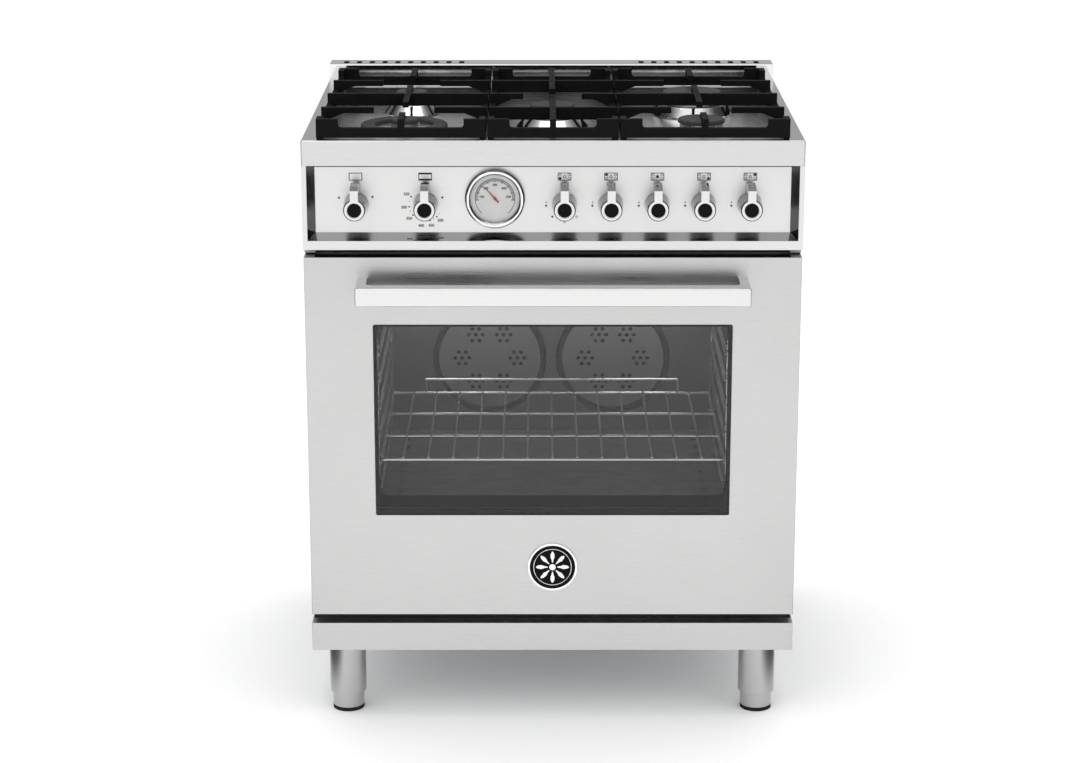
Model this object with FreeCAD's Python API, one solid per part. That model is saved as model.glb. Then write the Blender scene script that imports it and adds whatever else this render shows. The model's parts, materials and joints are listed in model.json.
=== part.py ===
import FreeCAD, Part
import math
import os

Vec = FreeCAD.Vector

# Freestanding gas range, in millimetres, +Z up, front towards -Y.
# Shapes are drawn with y = 0 at the door's front face and y growing towards the back.
# save() then moves them so that the origin is on the floor under the middle of the whole range.

# ---- overall sizes ----
WIDTH = 759.0
BODY_DEPTH = 636.0
WORKTOP_HEIGHT = 934.0
HANDLE_REACH = 70.0

# ---- sheet and general clearances ----
SHEET = 1.5
TOP_SHEET = 2.0
TOUCH_GAP = 0.3
RUNNING_FIT = 0.05
BORE_END_ROOM = 2.0
EDGE_ROUND = 2.5

# ---- front, from the floor up ----
LEG_HEIGHT = 117.4
PLINTH_HEIGHT = 45.4
GAP_UNDER_DOOR = 14.6
GAP_OVER_DOOR = 11.6
FASCIA_HEIGHT = 129.6
BAND_HEIGHT = 38.8
FRONT_RETURN = 25.0
CABINET_SETBACK = 48.0

# ---- worktop well ----
WELL_DEPTH = 23.0
WELL_SIDE_MARGIN = 32.5
WELL_SIDE_SLOPE = 12.0
WELL_FRONT_MARGIN = 24.0
WELL_FRONT_SLOPE = 16.0
WELL_REAR_MARGIN = 93.0
WELL_REAR_SLOPE = 45.0

# ---- backguard ----
BACKGUARD_DEPTH = 53.0
BACKGUARD_HEIGHT = 25.0
FLUE_MARGIN = 8.0
VENT_COUNT = 10
VENT_PITCH = 21.95
VENT_WIDTH = 9.0
VENT_LENGTH = 25.0
VENT_SIDE_MARGIN = 28.0

# ---- rear panel louvres ----
LOUVRE_COUNT = 12
LOUVRE_PITCH = 14.0
LOUVRE_HEIGHT = 4.5

# ---- control panel and fascia ----
STRIP_WIDTH = 7.4
LIP_HEIGHT = 14.0
REVEAL_WIDTH = 11.1
REVEAL_RISE = 9.4
PANEL_SETBACK = 20.0
PANEL_TUCK = 12.0
KNOB_ROW_RISE = 66.0
KNOB_END_MARGIN = 80.5
LAYOUT_UNITS = 8.5
KNOB_UNITS = (0.0, 1.5, 4.5, 5.5, 6.5, 7.5, 8.5)
GAUGE_UNITS = 3.0

# ---- knobs and their stems ----
KNOB_FRONT_RADIUS = 16.5
KNOB_SKIRT_RADIUS = 19.0
KNOB_SKIRT_LENGTH = 8.0
KNOB_REACH = 45.0
KNOB_PUSH_ROOM = 4.0
KNOB_EDGE = 1.2
LEVER_WIDTH = 12.4
LEVER_TOP = 36.0
LEVER_BEVEL = 6.0
LEVER_DEPTH = 34.0
INSERT_RADIUS = 10.9
INSERT_DEPTH = 2.0
STEM_RADIUS = 4.0
STEM_IN_KNOB = 22.0
STEM_IN_VALVE = 8.0
PUSH_TRAVEL = 3.0
PANEL_HOLE_ROOM = 2.0

# ---- temperature gauge ----
GAUGE_RISE = 76.5
BEZEL_RADIUS = 45.5
BEZEL_INNER = 37.0
BEZEL_PROUD = 12.0
BEZEL_LIP = 3.0
GAUGE_TUBE_RADIUS = 39.0
GAUGE_TUBE_BACK = 12.0
DIAL_THICK = 1.5
NEEDLE_GAP = 2.0
NEEDLE_THICK = 0.8
NEEDLE_LENGTH = 25.0
NEEDLE_TAIL = 8.0
NEEDLE_WIDTH = 2.6
NEEDLE_TIP_WIDTH = 0.6
GAUGE_GLASS_THICK = 2.0
NEEDLE_REST_ANGLE = 42.0
GAUGE_SHAFT_RADIUS = 1.5

# ---- door ----
DOOR_THICK = 45.0
DOOR_SIDE_GAP = 0.5
WINDOW_SIDE_MARGIN = 103.4
WINDOW_TOP_MARGIN = 105.0
WINDOW_LOW_MARGIN = 164.6
WINDOW_CORNER = 3.0
GLASS_THICK = 4.0
GLASS_OVERLAP = 18.0
CORE_DROP = 2.0
TOP_RETURN_LENGTH = 17.0
INNER_PLATE = 2.0
INNER_LAND = 3.0
INNER_LAND_MARGIN = 60.0
INNER_WINDOW_SIDE = 108.0
INNER_WINDOW_TOP = 110.0
INNER_WINDOW_LOW = 185.0
INNER_WINDOW_CORNER = 15.0

# ---- door hinge ----
HINGE_BEHIND_FRONT = 20.0
HINGE_ABOVE_EDGE = 9.6
HINGE_SIDE_MARGIN = 59.0
HINGE_PIN_RADIUS = 5.0
HINGE_BRACKET_THICK = 5.0
HINGE_BRACKET_HEIGHT = 16.0
HINGE_CHEEK_THICK = 4.0
HINGE_CHEEK_GAP = 1.5
HINGE_CHEEK_RADIUS = 8.5
HINGE_CHEEK_LENGTH = 74.0
HINGE_PIN_STICKOUT = 2.0
HINGE_POCKET_GAP = 3.0

# ---- door handle and badge ----
HANDLE_END_MARGIN = 81.9
HANDLE_DROP = 46.0
HANDLE_BAR_HEIGHT = 28.0
HANDLE_BAR_DEPTH = 24.0
HANDLE_POST_WIDTH = 15.0
HANDLE_EDGE = 2.5
HANDLE_INNER_CORNER = 9.0
BADGE_RADIUS = 39.0
BADGE_FACE_RADIUS = 35.0
BADGE_PROUD = 3.0
BADGE_RISE = 79.6

# ---- legs and feet ----
LEG_SIDE_MARGIN = 51.5
LEG_END_MARGIN = 55.0
SLEEVE_WALL = 3.7
SLEEVE_BOTTOM = 29.0
SLEEVE_ROUND = 2.5
SLEEVE_TOP_PLATE = 5.0
FOOT_RADIUS = 25.0
PAD_HEIGHT = 6.0
PAD_EDGE = 1.0
FOOT_INSIDE_SLEEVE = 34.0

# ---- oven cavity ----
CAVITY_SIDE_MARGIN = 102.5
CAVITY_LOW_MARGIN = 112.0
CAVITY_TOP_MARGIN = 82.0
CAVITY_BACK_ROOM = 106.0
OVEN_FLOOR_RISE = 38.0
OVEN_FLOOR_THICK = 2.0
OVEN_FLOOR_END_GAP = 10.0
FLOOR_SLOT_COUNT = 8
FLOOR_SLOT_WIDTH = 8.0
FLOOR_SLOT_LENGTH = 28.0
FLOOR_SLOT_MARGIN = 30.0
FLOOR_JOINT_WIDTH = 3.0
FLOOR_JOINT_MARGIN = 60.0
INSULATION_THICK = 25.0
GASKET_RADIUS_OUT = 11.0
GASKET_WIDTH = 9.0

# ---- oven burners ----
BAKE_TUBE_RADIUS = 9.0
BAKE_TUBE_RISE = 18.0
BAKE_FOOT = 12.0
BROIL_DROP = 16.0
BROIL_HALF_WIDTH = 95.0
GROOVE_PITCH = 24.0
GROOVE_WIDTH = 10.0
GROOVE_DEPTH = 3.0
GROOVE_MARGIN = 14.0
BURNER_TUBE_FRONT = 70.0
BURNER_TUBE_BACK = 60.0

# ---- convection fans ----
FAN_SPREAD = 107.0
FAN_RISE = 165.0
FAN_OPENING_RADIUS = 99.0
FAN_COVER_RADIUS = 94.0
FAN_HOUSING_DEPTH = 42.0
FAN_RADIUS = 74.0
FAN_DEPTH = 16.0
FAN_SETBACK = 14.0
FAN_BLADES = 8
FAN_HUB_RADIUS = 13.0
FAN_SHAFT_RADIUS = 4.0
MOTOR_RADIUS = 38.0
MOTOR_LENGTH = 50.0
COVER_LEGS = 3
COVER_LEG_RADIUS = 3.0
COVER_LEG_MARGIN = 8.0
COVER_PETALS = 6
COVER_PETAL_CIRCLE = 48.0
COVER_HOLE_CIRCLE = 12.0
COVER_HOLE_RADIUS = 3.6

# ---- oven rack and its side ladders ----
RACK_LEVELS = 6
LADDER_TOP_MARGIN = 83.6
LADDER_LOW_RISE = 41.0
PAIR_SPACING = 12.6
LADDER_WIRE = 2.0
LADDER_INSET = 6.0
LADDER_POST_INSET = 20.0
LADDER_FRONT = 22.0
LADDER_BACK = 40.0
RACK_LEVEL = 1
RACK_WIRE = 2.8
RACK_THIN_WIRE = 1.75
RACK_FRONT_SETBACK = 22.0
RACK_BACK_ROOM = 70.0
RACK_CROSS_WIRES = 4
RACK_LONG_WIRES = 13
RACK_LONG_MARGIN = 34.5
RACK_REAR_RISE = 24.0
RACK_SIDE_GAP = 1.0

# ---- grates ----
GRATE_TOP_RISE = 31.0
GRATE_FOOT = 3.0
GRATE_RAIL_DROP = 13.5
GRATE_BAR = 9.5
GRATE_SIDE_MARGIN = 23.0
GRATE_FRONT_MARGIN = 7.0
GRATE_REAR_MARGIN = 76.0
CENTRE_GRATE_WIDTH = 197.0
GRATE_GAP = 3.0
GRATE_CORNER_X = 33.0
GRATE_CORNER_Y = 30.0
GRATE_SCOOP = 5.0
FINGER_DEPTH = 9.0
FINGER_ROOT_DEPTH = 19.0
FINGER_ARCH = 25.0
FINGER_CLEAR_RADIUS = 46.5
LONG_FINGER_CLEAR = 45.0

# ---- hob burners ----
BURNER_FRONT_OFFSET = 110.0
BURNER_REAR_OFFSET = 132.0
CUP_HEIGHT = 17.0
CUP_WALL = 2.0
THROAT_RADIUS = 16.0
THROAT_DROP = 12.0
HEAD_HEIGHT = 15.0
HEAD_BEVEL = 3.0
CAP_THICK = 7.0
CAP_EDGE = 2.0
CAP_LOW_EDGE = 1.0
CAP_OVERHANG = 3.0
PORT_WIDTH = 1.6
PORT_DEPTH = 4.0
PORT_HEIGHT = 6.0
PORT_PITCH = 7.8
RING_CAP_OPENING = 45.0
RING_CAP_DROP = 8.0
RING_BRIDGES = 3
RING_BRIDGE_ANGLE = 30.0
RING_BRIDGE_WIDTH = 10.6
RING_INNER_CAP = 22.0
IGNITER_RADIUS = 2.5
IGNITER_HEIGHT = 10.0
IGNITER_GAP = 4.0
IGNITER_ANGLE = 50.0

# ---- gas pipework ----
MANIFOLD_SIDE = 18.0
MANIFOLD_SETBACK = 66.0
VALVE_WIDTH = 26.0
VALVE_HEIGHT = 30.0
VALVE_LENGTH = 26.0
INLET_RADIUS = 10.65
INLET_LENGTH = 24.0
INLET_SIDE_MARGIN = 45.0
INLET_HOLE_RADIUS = 34.0
INLET_RECESS = 2.0
HEX_SIZE = 15.0
HEX_LENGTH = 14.0

# ---- worked out from the sizes above ----
HALF = WIDTH / 2
DOOR_HALF = HALF - DOOR_SIDE_GAP
BAND_LOW = WORKTOP_HEIGHT - BAND_HEIGHT
FASCIA_LOW = BAND_LOW - FASCIA_HEIGHT
DOOR_TOP = FASCIA_LOW - GAP_OVER_DOOR
PLINTH_TOP = LEG_HEIGHT + PLINTH_HEIGHT
DOOR_LOW = PLINTH_TOP + GAP_UNDER_DOOR
PANEL_HALF = HALF - STRIP_WIDTH - REVEAL_WIDTH
PANEL_LOW = FASCIA_LOW + LIP_HEIGHT + REVEAL_RISE
KNOB_Z = FASCIA_LOW + KNOB_ROW_RISE
GAUGE_Z = FASCIA_LOW + GAUGE_RISE
KNOB_SPAN = WIDTH - 2 * KNOB_END_MARGIN
KNOB_XS = [KNOB_SPAN * (units / LAYOUT_UNITS - 0.5) for units in KNOB_UNITS]
GAUGE_X = KNOB_SPAN * (GAUGE_UNITS / LAYOUT_UNITS - 0.5)
KNOB_BACK_Y = PANEL_SETBACK - KNOB_PUSH_ROOM
KNOB_FRONT_Y = PANEL_SETBACK - KNOB_REACH
VALVE_FRONT_Y = MANIFOLD_SETBACK - VALVE_LENGTH
WELL_Z = WORKTOP_HEIGHT - WELL_DEPTH
GRATE_Z = WORKTOP_HEIGHT + GRATE_TOP_RISE
GRATE_BACK_Y = BODY_DEPTH - BACKGUARD_DEPTH - GRATE_REAR_MARGIN
SIDE_GRATE_IN = CENTRE_GRATE_WIDTH / 2 + GRATE_GAP
SIDE_GRATE_OUT = HALF - GRATE_SIDE_MARGIN
BURNER_X = (SIDE_GRATE_IN + SIDE_GRATE_OUT) / 2
BURNER_FRONT_Y = GRATE_FRONT_MARGIN + BURNER_FRONT_OFFSET
BURNER_REAR_Y = GRATE_BACK_Y - BURNER_REAR_OFFSET
BURNER_MID_Y = (BURNER_FRONT_Y + BURNER_REAR_Y) / 2
CAVITY_HALF = HALF - CAVITY_SIDE_MARGIN
CAVITY_LOW = DOOR_LOW + CAVITY_LOW_MARGIN
CAVITY_TOP = DOOR_TOP - CAVITY_TOP_MARGIN
CAVITY_FRONT = CABINET_SETBACK + SHEET
CAVITY_BACK = BODY_DEPTH - CAVITY_BACK_ROOM
OVEN_FLOOR_Z = CAVITY_LOW + OVEN_FLOOR_RISE
RACK_PITCH = (CAVITY_TOP - LADDER_TOP_MARGIN - OVEN_FLOOR_Z - LADDER_LOW_RISE) / (RACK_LEVELS - 1)
FAN_Z = CAVITY_LOW + FAN_RISE
FAN_HOUSING_BACK = CAVITY_BACK + SHEET + FAN_HOUSING_DEPTH
OUTER_GLASS_HALF = HALF - WINDOW_SIDE_MARGIN + GLASS_OVERLAP
OUTER_GLASS_LOW = DOOR_LOW + WINDOW_LOW_MARGIN - GLASS_OVERLAP
OUTER_GLASS_TOP = DOOR_TOP - WINDOW_TOP_MARGIN + GLASS_OVERLAP
SLEEVE_RADIUS = FOOT_RADIUS + TOUCH_GAP + SLEEVE_WALL
HINGE_Z = DOOR_LOW + HINGE_ABOVE_EDGE
HINGE_X = HALF - HINGE_SIDE_MARGIN
HANDLE_Z = DOOR_TOP - HANDLE_DROP
INLET_X = HALF - INLET_SIDE_MARGIN

# Hob burners: name, x, y, cup base radius, cup top radius, cap radius
HOB_BURNERS = (
    ("front_left", -BURNER_X, BURNER_FRONT_Y, 73.0, 69.0, 67.0),
    ("rear_left", -BURNER_X, BURNER_REAR_Y, 45.5, 33.5, 26.0),
    ("centre", 0.0, BURNER_MID_Y, 57.5, 43.0, 36.0),
    ("front_right", BURNER_X, BURNER_FRONT_Y, 57.5, 43.0, 36.0),
    ("rear_right", BURNER_X, BURNER_REAR_Y, 67.0, 57.0, 48.5),
)
RING_BURNER = "front_left"


# ---- shape helpers ----
def box(x0, x1, y0, y1, z0, z1):
    """Block between two opposite corners."""
    return Part.makeBox(x1 - x0, y1 - y0, z1 - z0, Vec(x0, y0, z0))


def wide_box(half, y0, y1, z0, z1):
    """Block centred on x = 0."""
    return box(-half, half, y0, y1, z0, z1)


def rod(start, end, radius):
    """Round bar between two points."""
    run = end - start
    return Part.makeCylinder(radius, run.Length, start, run)


def post(x, y, z0, z1, radius):
    """Upright round bar."""
    return rod(Vec(x, y, z0), Vec(x, y, z1), radius)


def drill(x, z, y0, y1, radius):
    """Round bar along y, for axles and for holes in front-facing sheets."""
    return rod(Vec(x, y0, z), Vec(x, y1, z), radius)


def fuse(shapes):
    """One solid from touching or overlapping shapes, with seams between flush faces removed."""
    first = shapes[0]
    if len(shapes) == 1:
        return first
    return first.multiFuse(shapes[1:]).removeSplitter()


def cut(shape, tools):
    """Shape with every tool removed."""
    return shape.cut(Part.makeCompound(tools))


def prism(points, run):
    """Polygon drawn through the points and pushed along run."""
    wire = Part.makePolygon(points + [points[0]])
    return Part.Face(wire).extrude(run)


def taper(points_a, points_b):
    """Straight-sided solid between two polygons with the same number of corners."""
    wires = [Part.makePolygon(points + [points[0]]) for points in (points_a, points_b)]
    return Part.makeLoft(wires, True, True)


def level_rect(half, y0, y1, z):
    """Corners of a level rectangle centred on x = 0."""
    return [Vec(-half, y0, z), Vec(half, y0, z), Vec(half, y1, z), Vec(-half, y1, z)]


def front_rect(half, z0, z1, y):
    """Corners of a front-facing rectangle centred on x = 0."""
    return [Vec(-half, y, z0), Vec(half, y, z0), Vec(half, y, z1), Vec(-half, y, z1)]


def turned_y(profile, x, z):
    """Solid turned about a y axis through (x, z). The profile is a list of (radius, y)."""
    points = [Vec(x + radius, y, z) for radius, y in profile]
    face = Part.Face(Part.makePolygon(points + [points[0]]))
    return face.revolve(Vec(x, 0, z), Vec(0, 1, 0), 360)


def turned_z(profile, x, y):
    """Solid turned about an upright axis through (x, y). The profile is a list of (radius, z)."""
    points = [Vec(x + radius, y, z) for radius, z in profile]
    face = Part.Face(Part.makePolygon(points + [points[0]]))
    return face.revolve(Vec(x, y, 0), Vec(0, 0, 1), 360)


def window_block(half, y0, y1, z0, z1, corner):
    """Front-facing block with rounded corners."""
    block = wide_box(half, y0, y1, z0, z1)
    edges = [edge for edge in block.Edges if abs(edge.Vertexes[0].Y - edge.Vertexes[1].Y) > (y1 - y0) / 2]
    return block.makeFillet(corner, edges)


def mirror_x(shape):
    """The same shape on the other side of x = 0."""
    return shape.mirror(Vec(0, 0, 0), Vec(1, 0, 0))


def save(name, shapes):
    """Write one node, moved so that the origin is under the middle of the range."""
    solid = shapes[0] if len(shapes) == 1 else Part.makeCompound(shapes)
    moved = solid.copy()
    moved.translate(Vec(0, (HANDLE_REACH - BODY_DEPTH) / 2, 0))
    moved.exportStep(os.path.join("parts", name + ".step"))
    print(name, len(moved.Solids), "solids, volume", round(moved.Volume / 1000.0, 2), "cm3", moved.isValid())


# ---- casing ----
def make_worktop():
    well_top_half = HALF - WELL_SIDE_MARGIN
    well_floor_half = well_top_half - WELL_SIDE_SLOPE
    well_back = BODY_DEPTH - BACKGUARD_DEPTH - WELL_REAR_MARGIN
    well_floor = level_rect(well_floor_half, WELL_FRONT_MARGIN + WELL_FRONT_SLOPE,
                            well_back - WELL_REAR_SLOPE, WELL_Z)
    well_mouth = level_rect(well_top_half, WELL_FRONT_MARGIN, well_back, WORKTOP_HEIGHT)
    pocket = taper(well_floor, well_mouth)
    floor_front = WELL_FRONT_MARGIN + WELL_FRONT_SLOPE - TOP_SHEET
    floor_back = well_back - WELL_REAR_SLOPE + TOP_SHEET
    pan_walls = taper(level_rect(well_floor_half + TOP_SHEET, floor_front, floor_back, WELL_Z - TOP_SHEET),
                      level_rect(well_top_half + TOP_SHEET, WELL_FRONT_MARGIN - TOP_SHEET,
                                 well_back + TOP_SHEET, WORKTOP_HEIGHT))
    block = wide_box(HALF, 0, BODY_DEPTH, BAND_LOW, WORKTOP_HEIGHT)
    rounded = [edge for edge in block.Edges if min(v.Z for v in edge.Vertexes) > BAND_LOW + 1
               or max(v.Z for v in edge.Vertexes) - min(v.Z for v in edge.Vertexes) > 1]
    block = block.makeFillet(EDGE_ROUND, rounded)
    hollow = wide_box(HALF - TOP_SHEET, TOP_SHEET, BODY_DEPTH - TOP_SHEET,
                      BAND_LOW, WORKTOP_HEIGHT - TOP_SHEET)
    hollow = cut(hollow, [pan_walls])
    flue = wide_box(HALF - VENT_SIDE_MARGIN, BODY_DEPTH - BACKGUARD_DEPTH + FLUE_MARGIN,
                    BODY_DEPTH - FLUE_MARGIN, WORKTOP_HEIGHT - 2 * TOP_SHEET, WORKTOP_HEIGHT + 1)
    holes = [post(x, y, BAND_LOW, WELL_Z + 1, THROAT_RADIUS + 1) for _, x, y, _, _, _ in HOB_BURNERS]
    return cut(block, [hollow, pocket, flue] + holes)


def make_backguard():
    front = BODY_DEPTH - BACKGUARD_DEPTH
    top = WORKTOP_HEIGHT + BACKGUARD_HEIGHT
    block = wide_box(HALF, front, BODY_DEPTH, WORKTOP_HEIGHT, top)
    upper = [edge for edge in block.Edges if min(v.Z for v in edge.Vertexes) > top - 1]
    block = block.makeFillet(TOP_SHEET - TOUCH_GAP, upper)
    hollow = wide_box(HALF - TOP_SHEET, front + TOP_SHEET, BODY_DEPTH - TOP_SHEET,
                      WORKTOP_HEIGHT, top - TOP_SHEET)
    slots = []
    slot_y = front + BACKGUARD_DEPTH / 2
    straight = (VENT_LENGTH - VENT_WIDTH) / 2
    for side in (-1, 1):
        for index in range(VENT_COUNT):
            x = side * (HALF - VENT_SIDE_MARGIN - index * VENT_PITCH)
            slots.append(box(x - VENT_WIDTH / 2, x + VENT_WIDTH / 2, slot_y - straight, slot_y + straight,
                             top - 2 * TOP_SHEET, top + 1))
            slots.append(post(x, slot_y - straight, top - 2 * TOP_SHEET, top + 1, VENT_WIDTH / 2))
            slots.append(post(x, slot_y + straight, top - 2 * TOP_SHEET, top + 1, VENT_WIDTH / 2))
    return cut(block, [hollow] + slots)


def make_fascia():
    block = wide_box(HALF, 0, FRONT_RETURN, FASCIA_LOW, BAND_LOW)
    mouth_half = HALF - STRIP_WIDTH
    mouth_low = FASCIA_LOW + LIP_HEIGHT
    back = PANEL_SETBACK + SHEET
    pocket = taper(front_rect(mouth_half, mouth_low, BAND_LOW, 0),
                   front_rect(PANEL_HALF, PANEL_LOW, BAND_LOW, PANEL_SETBACK))
    through = wide_box(PANEL_HALF, PANEL_SETBACK, FRONT_RETURN, PANEL_LOW, BAND_LOW)
    walls = taper(front_rect(mouth_half + SHEET, mouth_low - SHEET, BAND_LOW, 0),
                  front_rect(PANEL_HALF + SHEET, PANEL_LOW - SHEET, BAND_LOW, back))
    hollow = wide_box(HALF - SHEET, SHEET, FRONT_RETURN, FASCIA_LOW + SHEET, BAND_LOW)
    return cut(block, [cut(hollow, [walls]), pocket, through])


def make_control_panel():
    plate = wide_box(PANEL_HALF, PANEL_SETBACK, PANEL_SETBACK + SHEET, PANEL_LOW, BAND_LOW + PANEL_TUCK)
    back = PANEL_SETBACK + SHEET
    holes = [drill(x, KNOB_Z, PANEL_SETBACK - 1, back + 1, STEM_RADIUS + PANEL_HOLE_ROOM) for x in KNOB_XS]
    holes.append(drill(GAUGE_X, GAUGE_Z, PANEL_SETBACK - 1, back + 1, GAUGE_TUBE_RADIUS))
    return cut(plate, holes)


def make_side_panel():
    """Right-hand side: a flat sheet, stepped back behind the door, with a flange beside the fascia."""
    inner = HALF - SHEET
    step_top = DOOR_TOP + CORE_DROP
    outline = [(FRONT_RETURN, LEG_HEIGHT), (FRONT_RETURN, PLINTH_TOP), (CABINET_SETBACK, PLINTH_TOP),
               (CABINET_SETBACK, step_top), (FRONT_RETURN, step_top), (FRONT_RETURN, BAND_LOW),
               (BODY_DEPTH, BAND_LOW), (BODY_DEPTH, LEG_HEIGHT)]
    sheet = prism([Vec(inner, y, z) for y, z in outline], Vec(SHEET, 0, 0))
    flange = box(HALF - TOP_RETURN_LENGTH, inner, FRONT_RETURN, FRONT_RETURN + SHEET, step_top, BAND_LOW)
    return fuse([sheet, flange])


def make_rear_panel():
    inner = HALF - SHEET
    plate = wide_box(inner, BODY_DEPTH - SHEET, BODY_DEPTH, LEG_HEIGHT + SHEET, BAND_LOW)
    cuts = [drill(INLET_X, KNOB_Z, BODY_DEPTH - 2 * SHEET, BODY_DEPTH + 1, INLET_HOLE_RADIUS)]
    for side in (-1, 1):
        for index in range(LOUVRE_COUNT):
            z = FAN_Z + (index - LOUVRE_COUNT / 2) * LOUVRE_PITCH
            cuts.append(box(side * FAN_SPREAD - MOTOR_RADIUS, side * FAN_SPREAD + MOTOR_RADIUS,
                            BODY_DEPTH - 2 * SHEET, BODY_DEPTH + 1, z, z + LOUVRE_HEIGHT))
    return cut(plate, cuts)


def make_base_pan():
    return wide_box(HALF - SHEET, FRONT_RETURN, BODY_DEPTH, LEG_HEIGHT, LEG_HEIGHT + SHEET)


def make_plinth():
    block = wide_box(HALF, 0, FRONT_RETURN, LEG_HEIGHT, PLINTH_TOP)
    hollow = wide_box(HALF - SHEET, SHEET, FRONT_RETURN, LEG_HEIGHT + SHEET, PLINTH_TOP - SHEET)
    return cut(block, [hollow])


def make_front_frame():
    """Sheet behind the door with the oven mouth in it."""
    plate = wide_box(HALF - SHEET, CABINET_SETBACK, CAVITY_FRONT, LEG_HEIGHT + SHEET, DOOR_TOP - CORE_DROP)
    mouth = wide_box(CAVITY_HALF, CABINET_SETBACK - 1, CAVITY_FRONT + 1, CAVITY_LOW, CAVITY_TOP)
    return cut(plate, [mouth])


# ---- oven ----
def make_oven_liner():
    """Open-fronted box with two round fan housings on its back wall."""
    back = CAVITY_BACK + SHEET
    shell = wide_box(CAVITY_HALF + SHEET, CAVITY_FRONT, back, CAVITY_LOW - SHEET, CAVITY_TOP + SHEET)
    solids = [shell]
    cuts = [wide_box(CAVITY_HALF, CAVITY_FRONT, CAVITY_BACK, CAVITY_LOW, CAVITY_TOP)]
    for side in (-1, 1):
        x = side * FAN_SPREAD
        solids.append(drill(x, FAN_Z, CAVITY_BACK, FAN_HOUSING_BACK, FAN_OPENING_RADIUS + SHEET))
        cuts.append(drill(x, FAN_Z, CAVITY_BACK, FAN_HOUSING_BACK - SHEET, FAN_OPENING_RADIUS))
        cuts.append(drill(x, FAN_Z, CAVITY_BACK, FAN_HOUSING_BACK + 1, FAN_SHAFT_RADIUS + PANEL_HOLE_ROOM))
    return cut(fuse(solids), cuts)


def make_insulation():
    """Mineral wool blanket round the liner's four sides."""
    outside = CAVITY_HALF + SHEET + INSULATION_THICK
    blanket = wide_box(outside, CAVITY_FRONT, CAVITY_BACK, CAVITY_LOW - SHEET - INSULATION_THICK,
                       CAVITY_TOP + SHEET + INSULATION_THICK)
    inside = wide_box(CAVITY_HALF + SHEET, CAVITY_FRONT - 1, CAVITY_BACK + 1, CAVITY_LOW - SHEET,
                      CAVITY_TOP + SHEET)
    return cut(blanket, [inside])


def make_oven_floor():
    """Removable floor plate on a folded edge, slotted down both sides."""
    low = CAVITY_LOW
    top = OVEN_FLOOR_Z
    half = CAVITY_HALF - TOUCH_GAP
    front = CAVITY_FRONT + OVEN_FLOOR_END_GAP
    back = CAVITY_BACK - OVEN_FLOOR_END_GAP
    block = wide_box(half, front, back, low, top)
    hollow = wide_box(half - OVEN_FLOOR_THICK, front + OVEN_FLOOR_THICK, back - OVEN_FLOOR_THICK,
                      low, top - OVEN_FLOOR_THICK)
    slots = []
    slot_pitch = (back - front) / (FLOOR_SLOT_COUNT + 1)
    across = FLOOR_SLOT_WIDTH / 2
    along = FLOOR_SLOT_LENGTH / 2
    for side in (-1, 1):
        x = side * (half - FLOOR_SLOT_MARGIN)
        for index in range(FLOOR_SLOT_COUNT):
            y = front + slot_pitch * (index + 1)
            slots.append(box(x - across, x + across, y - along, y + along,
                             top - 2 * OVEN_FLOOR_THICK, top + 1))
    centre_slot = wide_box(FLOOR_JOINT_WIDTH / 2, front + FLOOR_JOINT_MARGIN, back - FLOOR_JOINT_MARGIN,
                           top - 2 * OVEN_FLOOR_THICK, top + 1)
    return cut(block, [hollow, centre_slot] + slots)


def make_oven_burners():
    """Bake burner under the oven floor and broil burner under the ceiling."""
    front = CAVITY_FRONT + BURNER_TUBE_FRONT
    back = CAVITY_BACK - BURNER_TUBE_BACK
    bake_z = CAVITY_LOW + BAKE_TUBE_RISE
    reach = CAVITY_HALF / 2
    bake = [rod(Vec(side * reach, front, bake_z), Vec(side * reach, back, bake_z), BAKE_TUBE_RADIUS)
            for side in (-1, 1)]
    bake.append(rod(Vec(-reach, front, bake_z), Vec(reach, front, bake_z), BAKE_TUBE_RADIUS))
    for side in (-1, 1):
        bake.append(Part.makeSphere(BAKE_TUBE_RADIUS, Vec(side * reach, front, bake_z)))
        foot_x = side * reach
        bake.append(box(foot_x - BAKE_FOOT / 2, foot_x + BAKE_FOOT / 2, back - BAKE_FOOT, back,
                        CAVITY_LOW, bake_z))
    broil_low = CAVITY_TOP - BROIL_DROP
    broil = wide_box(BROIL_HALF_WIDTH, front, back, broil_low, CAVITY_TOP)
    grooves = []
    groove_half = BROIL_HALF_WIDTH - GROOVE_MARGIN
    count = int((back - front) / GROOVE_PITCH) - 1
    for index in range(count):
        y = front + GROOVE_PITCH * (index + 1)
        grooves.append(wide_box(groove_half, y - GROOVE_WIDTH / 2, y + GROOVE_WIDTH / 2,
                                broil_low - 1, broil_low + GROOVE_DEPTH))
    return [fuse(bake), cut(broil, grooves)]


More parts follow.
